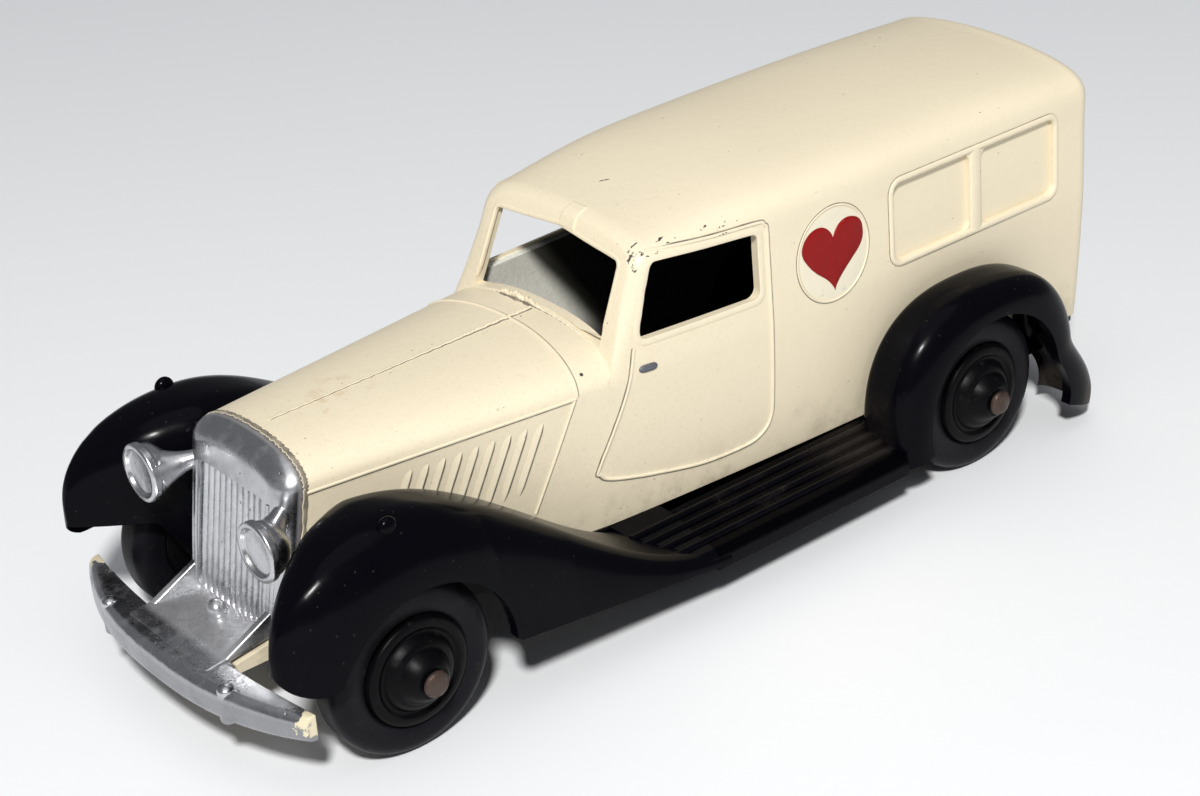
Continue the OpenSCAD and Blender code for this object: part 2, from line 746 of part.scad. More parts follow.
// Raised tunnel across the floor over an axle
module tunnel(x, half_y) {
    translate([x - tunnel_half_w, -half_y, floor_bottom_z])
        cube([2 * tunnel_half_w, 2 * half_y, floor_t + tunnel_h]);
}

module along_y(x, from, to) {
    translate([x, to, axle_z]) rotate([90, 0, 0]) linear_extrude(height = to - from) children();
}

// Floor plate: narrow between the front wings, wide under the van, widest where it ties in the rear wings
module floor_plate() {
    front_y = waist_half(front_axle_x) + seat_gap + wing_t / 2;
    cowl_y = cowl_w / 2;
    van_y = boss_out_y - 0.4;
    tie_y = van_w / 2 + seat_gap + wing_t / 2;
    widen_l = 12;
    tail_in = 0.9;
    tie_front_x = rear_axle_x - arch_r - 0.6;
    tie_back_x = rear_axle_x - rear_wing_back_a - 0.4;
    half = [
        [nose_x - tongue_root - seat_gap, front_y], [front_axle_x - arch_r, front_y],
        [cowl_x, cowl_y], [cowl_x - widen_l, van_y], [tie_front_x, van_y],
        [tie_front_x, tie_y], [tie_back_x, tie_y], [back_x + tail_in, van_y]
    ];
    translate([0, 0, floor_bottom_z])
        linear_extrude(height = floor_t)
            polygon(concat(half, [for (k = [len(half) - 1:-1:0]) [half[k].x, -half[k].y]]));
}

module chassis_casting() {
    color(gloss_black) {
        difference() {
            union() {
                difference() {
                    union() {
                        for (side = [0, 1]) mirror([0, side, 0]) {
                            front_wing();
                            rear_wing();
                            running_board();
                        }
                        floor_plate();
                        tunnel(front_axle_x, front_tunnel_y);
                        tunnel(rear_axle_x, rear_tunnel_y);
                    }
                    for (x = [front_axle_x, rear_axle_x]) {
                        along_y(x, -van_w, van_w) circle(r = slot_half_w, $fn = 48);
                        translate([x - slot_half_w, -boss_in_y, axle_z - 3])
                            cube([2 * slot_half_w, 2 * boss_in_y, 3]);
                    }
                }
                for (x = [front_axle_x, rear_axle_x], side = [0, 1])
                    mirror([0, side, 0]) along_y(x, boss_in_y, boss_out_y) circle(d = boss_d, $fn = 64);
            }
            for (x = [front_axle_x, rear_axle_x])
                along_y(x, -van_w, van_w) circle(d = axle_d + 2 * run_gap, $fn = 64);
            for (x = [front_post_x, rear_post_x])
                translate([x, 0, floor_bottom_z - 1])
                    cylinder(d = post_d + 2 * post_gap, h = floor_t + 2, $fn = 48);
        }
    }
}

hub_back_y = tyre_y - tyre_w - 1;
hub_face_y = tyre_y + hub_dome;
axle_end_y = hub_face_y + end_play;

module axle(x) {
    color(rusty_steel) {
        along_y(x, -axle_end_y, axle_end_y) circle(d = axle_d, $fn = 64);
        for (side = [0, 1]) mirror([0, side, 0]) {
            translate([x, axle_end_y, axle_z])
                rotate([-90, 0, 0])
                    rotate_extrude($fn = 64)
                        polygon([[0, -0.1], [head_d / 2, -0.1], [head_d / 2, head_l * 0.6],
                            [head_d / 2 - 0.3, head_l], [0, head_l]]);
        }
    }
}

// Hub with a stepped dome, turned about the axle; heights run outwards from the back of the hub
module hub(x, side) {
    bore_r = axle_d / 2 + run_gap;
    face = tyre_y - hub_back_y;
    dome = hub_face_y - hub_back_y;
    rim_r = rim_d / 2;
    color(gloss_black)
        mirror([0, side, 0])
            translate([x, hub_back_y, axle_z])
                rotate([-90, 0, 0])
                    rotate_extrude($fn = 96)
                        polygon([
                            [bore_r, 0], [2.2, 0], [2.2, 1], [rim_r - 0.8, 1], [rim_r, 1.3],
                            [rim_r, face], [rim_r - 0.5, face + 0.5], [rim_r - 0.9, face + 0.5],
                            [rim_r - 1.2, face + 0.2], [rim_r - 1.5, face + 0.2],
                            [rim_r - 1.9, face + 0.9], [rim_r - 2.5, face + 1.15],
                            [rim_r - 2.7, face + 1.5], [1.7, dome - 0.1], [1.5, dome], [bore_r, dome]
                        ]);
}

tyre_fit = 0.02;

// Smooth tyre with a rounded tread
module tyre(x, side) {
    r = tyre_d / 2;
    seat_r = rim_d / 2 + tyre_fit;
    edge = 1.3;
    color(rubber_black)
        mirror([0, side, 0])
            translate([x, tyre_y - tyre_w, axle_z])
                rotate([-90, 0, 0])
                    rotate_extrude($fn = 96)
                        polygon(concat(
                            [[seat_r, 0.3], [seat_r + 0.3, 0]],
                            [for (k = [0:5]) [r - edge, edge] + edge * [sin(k * 18), -cos(k * 18)]],
                            [for (k = [0:5]) [r - edge, tyre_w - edge] + edge * [cos(k * 18), sin(k * 18)]],
                            [[seat_r + 0.3, tyre_w], [seat_r, tyre_w - 0.3]]
                        ));
}

// Radiator casting, worked out in sections that lean with the nose
shell_gap = 0.05;
shell_base_z = sill_z + 1.2;
rake_angle = atan(nose_rake);

function on_nose(out, y, z) = [nose_x + shell_gap + out - nose_rake * (z - sill_z), y, z];

// Outline of the shell seen from the front: flanks drawn in to the foot, top arched like the bonnet
function shell_outline(in_y, in_z) =
    let (
        half = nose_w / 2 - in_y,
        foot = half - shell_tuck,
        knee_z = mix(shell_base_z, nose_edge_z, 0.5),
        side = concat(
            [[foot, shell_base_z], [half - shell_tuck * 0.3, knee_z]],
            [for (k = [0:10])
                let (q = super_quarter(9 * k, bonnet_power)) [half * q[0], mix(nose_edge_z, nose_z - in_z, q[1])]]
        )
    )
    concat(side, [for (k = [len(side) - 2:-1:0]) [-side[k].x, side[k].y]]);

// The shell swells out of the nose and rounds over to its front face
module shell() {
    top_share = 0.9;
    fan_loft([for (a = [90:-15:0])
        [for (p = shell_outline(shell_round * (1 - cos(a)), shell_round * top_share * (1 - cos(a))))
            on_nose(shell_t * sin(a), p[0], p[1])]]);
}

// Turns a shape drawn on the front face of the shell, with its origin at a height there, into place
module on_shell(z) {
    translate(on_nose(shell_t, 0, z)) rotate([0, -rake_angle, 0]) children();
}

grille_w = nose_w - 2 * shell_round - 2 * shell_tuck;
grille_top_z = nose_edge_z - 1.1;
grille_base_z = shell_base_z + 0.4;
grille_deep = 0.7;

module grille_pocket() {
    on_shell(grille_base_z)
        translate([-grille_deep, -grille_w / 2, 0])
            cube([2 * grille_deep, grille_w, (grille_top_z - grille_base_z) / cos(rake_angle)]);
}

// Upright slats standing in the pocket
module slats() {
    pitch = grille_w / slat_count;
    on_shell(grille_base_z - 0.3)
        for (i = [0:slat_count - 1])
            translate([-grille_deep, (i + 0.5) * pitch - grille_w / 2, 0])
                cylinder(d = pitch * 0.72, h = (grille_top_z - grille_base_z + 0.6) / cos(rake_angle), $fn = 24);
}

// A headlamp: a bullet with a rim and a shallow face, on a flared arm from the flank of the shell
module headlamp() {
    r = lamp_d / 2;
    lamp_l = 3.3;
    neck = on_nose(shell_t * 0.5, nose_w / 2 - shell_round * 0.6, lamp_z + 1);
    socket = [lamp_front_x - lamp_l * 0.55, lamp_y - r * 0.35, lamp_z + 0.2];
    reach = socket - neck;
    translate([lamp_front_x - lamp_l, lamp_y, lamp_z])
        rotate([0, 90, 0])
            rotate_extrude($fn = 64)
                polygon(concat(
                    [for (k = [0:6]) [(r - 0.25) * pow(sin(15 * k), 1.6), (lamp_l - 0.9) * (1 - cos(15 * k))]],
                    [[r, lamp_l - 0.75], [r, lamp_l - 0.15], [r - 0.2, lamp_l], [r - 0.5, lamp_l],
                        [r - 0.75, lamp_l - 0.4], [0, lamp_l - 0.6]]
                ));
    translate(neck)
        rotate([0, acos(reach.z / norm(reach)), atan2(reach.y, reach.x)])
            cylinder(d1 = 1.5, d2 = lamp_d * 0.68, h = norm(reach), $fn = 48);
}

bumper_front_x = front_axle_x + front_overhang;
bumper_tip_x = bumper_front_x - bumper_bow;

function bow_curve(t) = pow(abs(t), 2.5);

// Bumper: a crescent bar, deep in the middle and slim at its tips, with a rounded front
function bumper_ring(t) =
    let (
        front = mix(bumper_front_x, bumper_tip_x, bow_curve(t)),
        deep = mix(3.6, 1.1, bow_curve(t)),
        high = bumper_h * (1 - 0.2 * pow(t, 4)),
        r = min(high / 2, 0.9),
        low = bumper_z + (bumper_h - high) / 2,
        round_off = function(a, z) [front - r + r * cos(a), t * bumper_w / 2, z + r * sin(a)]
    )
    concat(
        [[front - deep, t * bumper_w / 2, low]],
        [for (a = [-90:30:0]) round_off(a, low + r)],
        [for (a = [0:30:90]) round_off(a, low + high - r)],
        [[front - deep, t * bumper_w / 2, low + high]]
    );

module bumper() {
    steps = 20;
    over_rider_y = 9.3;
    over_rider_r = 0.75;
    fan_loft([for (i = [0:steps]) bumper_ring(2 * i / steps - 1)]);
    for (side = [-1, 1])
        translate([
            mix(bumper_front_x, bumper_tip_x, bow_curve(2 * over_rider_y / bumper_w)) - over_rider_r,
            side * over_rider_y,
            bumper_z - 0.3
        ])
            rotate_extrude($fn = 48)
                polygon([
                    [0, 0], [over_rider_r - 0.3, 0], [over_rider_r, 0.3],
                    [over_rider_r, bumper_h + 0.3], [over_rider_r - 0.3, bumper_h + 0.6], [0, bumper_h + 0.6]
                ]);
}

// A plate across the toy, drawn by its outline seen from the side, between two places along Y
module side_plate(outline, from, to) {
    translate([0, to, 0]) rotate([90, 0, 0]) linear_extrude(height = to - from) polygon(outline);
}

// Apron: a tray with raised sides, from the foot of the shell down to the top of the bumper
module apron() {
    half_w = grille_w / 2 + 1.3;
    side_t = 0.8;
    back = nose_x + shell_gap + shell_t * 0.4;
    front = bumper_front_x - 1.6;
    front_z = bumper_z + bumper_h;
    side_top_z = shell_base_z + 2.7;
    foot_z = shell_base_z + 0.5;
    tray_t = 0.6;
    tongue_end = nose_x + tongue_l + seat_gap;
    side_plate([
        [back, shell_base_z], [back, foot_z], [front, front_z],
        [front, front_z - tray_t], [tongue_end, front_z - tray_t], [tongue_end, shell_base_z - tray_t]
    ], -half_w, half_w);
    for (side = [0, 1]) mirror([0, side, 0])
        side_plate([
            [back, shell_base_z], [back - nose_rake * (side_top_z - sill_z), side_top_z], [front - 2, front_z + 0.2],
            [front - 2, front_z - tray_t], [tongue_end, front_z - tray_t], [tongue_end, shell_base_z - tray_t]
        ], half_w - side_t, half_w);
    translate([nose_x + shell_t + 1, 0, foot_z])
        sphere(r = 0.95, $fn = 32);
}

module radiator_casting() {
    color(bright_metal) {
        difference() {
            shell();
            grille_pocket();
        }
        slats();
        apron();
        bumper();
        for (side = [0, 1]) mirror([0, side, 0]) headlamp();
    }
}

module front_axle() axle(front_axle_x);
module rear_axle() axle(rear_axle_x);
module front_left_hub() hub(front_axle_x, 0);
module front_right_hub() hub(front_axle_x, 1);
module rear_left_hub() hub(rear_axle_x, 0);
module rear_right_hub() hub(rear_axle_x, 1);
module front_left_tyre() tyre(front_axle_x, 0);
module front_right_tyre() tyre(front_axle_x, 1);
module rear_left_tyre() tyre(rear_axle_x, 0);
module rear_right_tyre() tyre(rear_axle_x, 1);

body_casting();
chassis_casting();
radiator_casting();
front_axle();
rear_axle();
front_left_hub();
front_right_hub();
rear_left_hub();
rear_right_hub();
front_left_tyre();
front_right_tyre();
rear_left_tyre();
rear_right_tyre();
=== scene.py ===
import math

import bmesh
import bpy
import numpy as np
from mathutils import Matrix


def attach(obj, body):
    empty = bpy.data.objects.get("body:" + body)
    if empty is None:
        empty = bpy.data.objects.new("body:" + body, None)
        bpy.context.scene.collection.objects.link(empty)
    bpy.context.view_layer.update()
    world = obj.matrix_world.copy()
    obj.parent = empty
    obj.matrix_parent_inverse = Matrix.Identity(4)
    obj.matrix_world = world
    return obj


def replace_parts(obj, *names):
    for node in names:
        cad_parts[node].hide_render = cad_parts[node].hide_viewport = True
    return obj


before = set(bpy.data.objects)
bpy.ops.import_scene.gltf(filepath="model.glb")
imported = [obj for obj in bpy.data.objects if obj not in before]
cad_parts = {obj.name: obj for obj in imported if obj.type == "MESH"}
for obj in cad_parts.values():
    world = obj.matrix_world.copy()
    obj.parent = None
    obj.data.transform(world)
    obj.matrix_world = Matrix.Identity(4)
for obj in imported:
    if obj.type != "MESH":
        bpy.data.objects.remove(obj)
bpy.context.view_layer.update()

# Sizes in millimetres, as in the part's source. +X points forward, +Y to the left, +Z up.
MM = 0.001
FRONT_AXLE, REAR_AXLE, AXLE_Z = 36.7, -30.7, 8.05
BACK, NOSE, COWL, SCREEN, TAPER = -51.48, 41.9, 12.7, 8.7, -28.5
VAN_W, COWL_W, NOSE_W = 26.4, 22.4, 15.6
SILL, WAIST, NOSE_EDGE, BONNET, NOSE_TOP = 8.1, 22.2, 22.3, 25.6, 25.2
WALL_TOP, ROOF, WALL, GAP = 29.6, 36.0, 1.2, 0.25
TUCK, LEAN, RAKE, BACK_LEAN, PILLAR_R, BROW_R = 0.5, 0.42, 0.17, 0.5, 1.4, 0.7
HEADER_FALL, HEADER_L, TAIL_FALL, TAIL_L, TAIL_R, CORNER_R, LEAN_L = 1.8, 24, 0.5, 20, 2, 1.8, 20
WING_Y, WING_T, ARCH_R, FLOOR_Z = 19.8, 1.1, 8.85, 6.8
TYRE_Y, TYRE_W = 17.4, 4.0
AXLES = (("front", FRONT_AXLE), ("rear", REAR_AXLE))
# Powers of the superellipses over the bonnet and the roof, and steps in a rounded corner
CROWN_POWER, ROOF_POWER, ARC_STEPS = 2.3, 6, 8


# Small helpers for forms

def mix(a, b, t):
    """Straight blend from a to b."""
    return a + (b - a) * t


def ease(t):
    """Smooth step from 0 to 1."""
    u = np.clip(t, 0, 1)
    return u * u * (3 - 2 * u)


def join(*parts):
    """Points from their coordinates, each a number or an array."""
    return np.stack(np.broadcast_arrays(*parts), -1)


def unit(v):
    """Vectors brought to length 1."""
    return v / np.linalg.norm(v, axis=-1, keepdims=True)


def arch(t, power):
    """Height of a superellipse at t from its middle: 1 less t to the power, to one over the power."""
    return (1 - t ** power) ** (1 / power)


def round_drop(t):
    """Depth of a quarter circle below its top, for t from 0 to 1."""
    return 1 - np.sqrt(np.maximum(0, 1 - np.clip(t, 0, 1) ** 2))


def super_quarter(angle, power):
    """A quarter of a superellipse: cosine and sine of the angle, each to the power 2 / power."""
    return np.maximum(0, np.cos(angle)) ** (2 / power), np.maximum(0, np.sin(angle)) ** (2 / power)


def wobble(x, seed):
    """A repeatable rough line: a sum of five sines whose pitches and phases come from the seed."""
    rng = np.random.default_rng(seed)
    out = np.zeros_like(np.asarray(x, float))
    for _ in range(5):
        out = out + rng.uniform(0.3, 1) * np.sin(np.asarray(x) * rng.uniform(0.8, 6) + rng.uniform(0, 6.28))
    return out / 2.5


def rounded(points, r, steps=ARC_STEPS):
    """An outline with every corner turned into an arc of radius r that touches both its sides."""
    pts = np.asarray(points, float)
    before, after = unit(np.roll(pts, 1, 0) - pts), unit(np.roll(pts, -1, 0) - pts)
    half = np.arccos(np.clip((before * after).sum(1), -1, 1)) / 2
    centre = pts + unit(before + after) * (r / np.sin(half))[:, None]
    reach = (r / np.tan(half))[:, None]
    start, end = pts + before * reach - centre, pts + after * reach - centre
    a = np.arctan2(start[:, 1], start[:, 0])
    turn = (np.arctan2(end[:, 1], end[:, 0]) - a + 3 * np.pi) % (2 * np.pi) - np.pi
    angle = a[:, None] + turn[:, None] * np.linspace(0, 1, steps + 1)
    arc = centre[:, None] + r * join(np.cos(angle), np.sin(angle))
    return arc.reshape(-1, 2)


def box(u0, u1, v0, v1):
    """The four corners of an upright rectangle."""
    return [(u0, v0), (u0, v1), (u1, v1), (u1, v0)]


# Surfaces are pairs of vertices and faces, in millimetres

def skin(points, wrap, caps):
    """Quads over a grid of points, rows first. Rows can wrap, and each end row is closed by one face,
    by a band of quads, or not at all."""
    rows, n = points.shape[:2]
    i, k = np.meshgrid(np.arange(rows - 1), np.arange(n if wrap else n - 1), indexing="ij")
    j = (k + 1) % n
    quads = np.stack([i * n + k, i * n + j, (i + 1) * n + j, (i + 1) * n + k], -1).reshape(-1, 4)
    faces = quads.tolist()
    last = (rows - 1) * n
    if caps == "fan":
        faces.append(list(range(n - 1, -1, -1)))
        faces.append(list(range(last, last + n)))
    if caps == "band":
        k = np.arange(n // 2 - 1)
        lid = np.stack([k, n - 1 - k, n - 2 - k, k + 1], -1)
        faces += lid.tolist() + (lid[:, ::-1] + last).tolist()
    return points.reshape(-1, 3), faces


def lathe(profile, origin, axis, steps=96):
    """A profile of (radius, height) pairs turned about a line through the origin along the axis."""
    r, h = np.asarray(profile, float).T
    axis = unit(np.asarray(axis, float))
    side = unit(np.cross(axis, [0.3, 0.2, 1.0] if abs(axis[2]) < 0.9 else [1.0, 0, 0]))
    up = np.cross(axis, side)
    a = np.arange(steps) * 2 * np.pi / steps
    ring = np.cos(a)[:, None] * side + np.sin(a)[:, None] * up
    grid = np.asarray(origin) + r[:, None, None] * ring + h[:, None, None] * axis
    return skin(grid, True, "fan" if r[0] > 0 or r[-1] > 0 else "none")


def lathe_ring(profile, origin, axis, steps=96):
    """A closed profile turned about the axis: its last row joins its first, with no end faces."""
    verts, faces = lathe(np.vstack([profile, profile[:1]]), origin, axis, steps)
    return verts, [f for f in faces if len(f) == 4]


def blob(centre, radii):
    """An ellipsoid with its poles along X."""
    a, b = np.linspace(0, np.pi, 24)[:, None], np.linspace(0, 2 * np.pi, 32, endpoint=False)
    ball = join(np.cos(a), np.sin(a) * np.cos(b), np.sin(a) * np.sin(b))
    return skin(np.array(centre) + np.array(radii) * ball, True, "none")


def prism(outline, low, high, place):
    """A flat outline carried straight from low to high, each point put in space by place(u, v, w)."""
    u, v = np.asarray(outline, float).T
    return skin(np.array([join(*place(u, v, w)) for w in (low, high)]), True, "fan")


def along_x(u, v, w):
    """For an outline of (y, z) points that is carried along X."""
    return w, u, v


def along_y(u, v, w):
    """For an outline of (x, z) points that is carried along Y."""
    return u, w, v


def along_z(u, v, w):
    """For an outline of (x, y) points that is carried along Z."""
    return u, v, w


# Sections of raised lines: places across, heights, and marks that are 1 where grime gathers and painted shade
# falls
HALF_ROUND = [(math.cos(a), math.sin(a), 1 - math.sin(a)) for a in np.linspace(0, math.pi, 9)]
PLAIN = [(c, up, 0) for c, up, mark in HALF_ROUND]
FLANK = [(2.2, 0.0, 0.0), (1.5, 0.03, 0.9), (1.0, 0.15, 1.0), (0.86, 0.5, 0.4), (0.5, 0.87, 0.0)]
BEAD = FLANK + [(0.0, 1.0, 0.0)] + [(-c, up, mark) for c, up, mark in FLANK[::-1]]
# A louvre's marks lie on its steep back drop, where they paint its shadow line together with grime
LOUVRE = [(5.0, 0, 0), (3.0, 0.3, 0), (1.0, 0.8, 0), (0.2, 1, 0.2),
          (-0.3, 0.9, 1), (-0.8, 0.15, 1), (-2.2, 0.03, 1), (-3.0, 0, 0)]
STRIP = [(1, 0, 0.3), (0.6, 1, 1), (-0.6, 1, 1), (-1, 0, 0.3)]
# How far the feet of a line stand off the wall, and the share of grime and painted shade left on its paler
# side
LINE_CLEAR, PALE_SHARE = 0.012, 0.25


def ridge(path, normal, half_w, lift, sink=0.25, closed=False, shape=HALF_ROUND, clean=0):
    """A line raised along a path: its section goes half_w across and lifts along the normal, its foot
    sunk in. Grime and painted shade are thin on the paler side, 1 to the path's right seen from outside and
    -1 to its left."""
    path = np.asarray(path, float)
    normal = np.broadcast_to(normal, path.shape)
    along = np.roll(path, -1, 0) - np.roll(path, 1, 0) if closed else np.gradient(path, axis=0)
    across = unit(np.cross(unit(along), normal))
    half_w, lift = np.broadcast_to(half_w, len(path)), np.broadcast_to(lift, len(path))
    c, up, mark = np.array([shape[0], *shape, shape[-1]]).T
    foot = np.full(len(c), LINE_CLEAR)
    foot[[0, -1]] = -sink
    rows = (path[:, None] + across[:, None] * (half_w[:, None] * c)[..., None]
            + normal[:, None] * (lift[:, None] * up + foot)[..., None])
    marks = np.where(clean * c > 0, PALE_SHARE * mark, mark) * np.ones((len(path), 1))
    if closed:
        rows, marks = np.concatenate([rows, rows[:1]]), np.concatenate([marks, marks[:1]])
    return *skin(rows, True, "none" if closed else "fan"), marks.ravel()


def mirrored(surface):
    """The same surface on the other side of the middle plane, with its faces turned round."""
    verts, faces, *marks = surface
    return verts * [1, -1, 1], [f[::-1] for f in faces], *marks


def both(surface):
    """A surface and its mirror image."""
    return [surface, mirrored(surface)]


def piece(name, surfaces, material, body=None, crease=35, bevel=0.0, segments=2):
    """One object from a list of surfaces, faces turned outwards, smooth but for edges sharper than the
    crease. A bevel softens edges, and without a body the piece is only a tool or waits to be cut."""
    verts, faces, marks, base = [], [], [], 0
    for v, f, *mark in surfaces:
        verts.append(v)
        marks.append(mark[0] if mark else np.zeros(len(v)))
        faces += [[i + base for i in one] for one in f]
        base += len(v)
    mesh = bpy.data.meshes.new(name)
    mesh.from_pydata(np.concatenate(verts) * MM, [], faces)
    mesh.attributes.new("grime_and_shade", "FLOAT", "POINT").data.foreach_set("value", np.concatenate(marks))
    bm = bmesh.new()
    bm.from_mesh(mesh)
    bmesh.ops.remove_doubles(bm, verts=bm.verts, dist=2e-6)
    bmesh.ops.dissolve_degenerate(bm, dist=1e-7, edges=bm.edges)
    bmesh.ops.recalc_face_normals(bm, faces=bm.faces)
    bm.to_mesh(mesh)
    bm.free()
    obj = bpy.data.objects.new(name, mesh)
    bpy.context.collection.objects.link(obj)
    finish_faces(obj, crease)
    if bevel:
        mod = obj.modifiers.new("soft_edges", "BEVEL")
        mod.width, mod.segments = bevel * MM, segments
        mod.limit_method, mod.angle_limit = "ANGLE", math.radians(40)
    mesh.materials.append(material)
    if body is not None:
        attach(obj, body)
    return obj


def finish_faces(obj, crease):
    """Smooth shading, with edges sharper than the crease angle kept sharp."""
    mesh = obj.data
    mesh.shade_smooth()
    mesh.set_sharp_from_angle(angle=math.radians(crease))


def carve(obj, cutters, material):
    """Takes closed surfaces out of a piece, the cut faces in the material."""
    for surface in cutters:
        tool = piece("cutter", [surface], material)
        mod = obj.modifiers.new("cut", "BOOLEAN")
        mod.solver, mod.operation, mod.object = "EXACT", "DIFFERENCE", tool
        mod.material_mode = "TRANSFER"
        made = bpy.data.meshes.new_from_object(obj.evaluated_get(bpy.context.evaluated_depsgraph_get()))
        obj.modifiers.clear()
        old, obj.data = obj.data, made
        bpy.data.meshes.remove(old)
        spare = tool.data
        bpy.data.objects.remove(tool)
        bpy.data.meshes.remove(spare)


# Shader maths

class Tap:
    """A node socket; arithmetic on it adds Math nodes."""

    def __init__(self, socket):
        self.socket = socket
        self.tree = socket.id_data

    def node(self, kind, settings=None, inputs=None, output=0):
        """Any node: its settings first, then the values or links of its sockets."""
        made = self.tree.nodes.new(kind)
        for key, value in (settings or {}).items():
            setattr(made, key, value)
        for key, value in (inputs or {}).items():
            if isinstance(value, Tap):
                self.tree.links.new(value.socket, made.inputs[key])
            else:
                made.inputs[key].default_value = value
        return Tap(made.outputs[output])

    def calc(self, operation, *values):
        """A Math node."""
        return self.node("ShaderNodeMath", {"operation": operation}, dict(enumerate(values)))

    def __add__(self, other): return self.calc("ADD", self, other)
    def __radd__(self, other): return self.calc("ADD", other, self)
    def __sub__(self, other): return self.calc("SUBTRACT", self, other)
    def __rsub__(self, other): return self.calc("SUBTRACT", other, self)
    def __mul__(self, other): return self.calc("MULTIPLY", self, other)
    def __rmul__(self, other): return self.calc("MULTIPLY", other, self)
    def __pow__(self, other): return self.calc("POWER", self, other)
    def __rpow__(self, other): return self.calc("POWER", other, self)
    def __abs__(self): return self.calc("ABSOLUTE", self)
    def low(self, other): return self.calc("MINIMUM", self, other)
    def high(self, other): return self.calc("MAXIMUM", self, other)

    def ramp(self, start, end):
        """0 below start, 1 above end, smooth between."""
        return self.node("ShaderNodeMapRange", {"interpolation_type": "SMOOTHSTEP"},
                         {"Value": self, "From Min": start, "From Max": end, "To Min": 0.0, "To Max": 1.0})

    def band(self, start, full, fading, end):
        """1 from full to fading, smooth down to 0 at start and end."""
        return self.ramp(start, full) * self.ramp(end, fading)

    def noise(self, per_mm, detail=3.0, rough=0.55, warp=0.0):
        """Noise on these coordinates, with so many cells to a millimetre."""
        return self.node("ShaderNodeTexNoise", None, {"Vector": self, "Scale": per_mm / MM, "Detail": detail,
                                                      "Roughness": rough, "Distortion": warp})

    def cells(self, per_mm):
        """Distance to the nearest of scattered points."""
        return self.node("ShaderNodeTexVoronoi", None, {"Vector": self, "Scale": per_mm / MM})

    def grime_and_shade(self):
        """The mark that raised lines carry at their foot, where grime gathers and painted shade falls."""
        return self.node("ShaderNodeAttribute", {"attribute_name": "grime_and_shade"}, None, "Fac").ramp(0.35, 0.9)

    def tint(self, a, b):
        """Colour a where this is 0 and b where it is 1, each from a node or as red, green and blue."""
        a, b = ((*c, 1.0) if isinstance(c, tuple) else c for c in (a, b))
        return self.node("ShaderNodeMix", {"data_type": "RGBA"}, {0: self, 6: a, 7: b}, 2)

    def axes(self):
        """The three coordinates, in millimetres."""
        return [self.node("ShaderNodeSeparateXYZ", None, {0: self}, i) * (1 / MM) for i in range(3)]


def coats(base, *layers):
    """A base colour under coats, each a cover from 0 to 1 and its colour."""
    for cover, colour in layers:
        base = cover.tint(base, colour)
    return base


def finish(name):
    """A fresh material: its Principled shader and the piece's own coordinates."""
    made = bpy.data.materials.new(name)
    made.use_nodes = True
    tree = made.node_tree
    shader = tree.nodes["Principled BSDF"]
    place = Tap(tree.nodes.new("ShaderNodeTexCoord").outputs["Object"])
    return made, shader, place


def feed(shader, **links):
    """Links values to the shader's sockets, and sets plain numbers on them."""
    for key, value in links.items():
        socket = shader.inputs[key.replace("_", " ")]
        if isinstance(value, Tap):
            shader.id_data.links.new(value.socket, socket)
        else:
            socket.default_value = value


def bump(height, strength, depth):
    """A Bump node's normal; depth is the height of 1, in millimetres."""
    return height.node("ShaderNodeBump", None,
                       {"Strength": strength, "Distance": depth * MM, "Height": height})


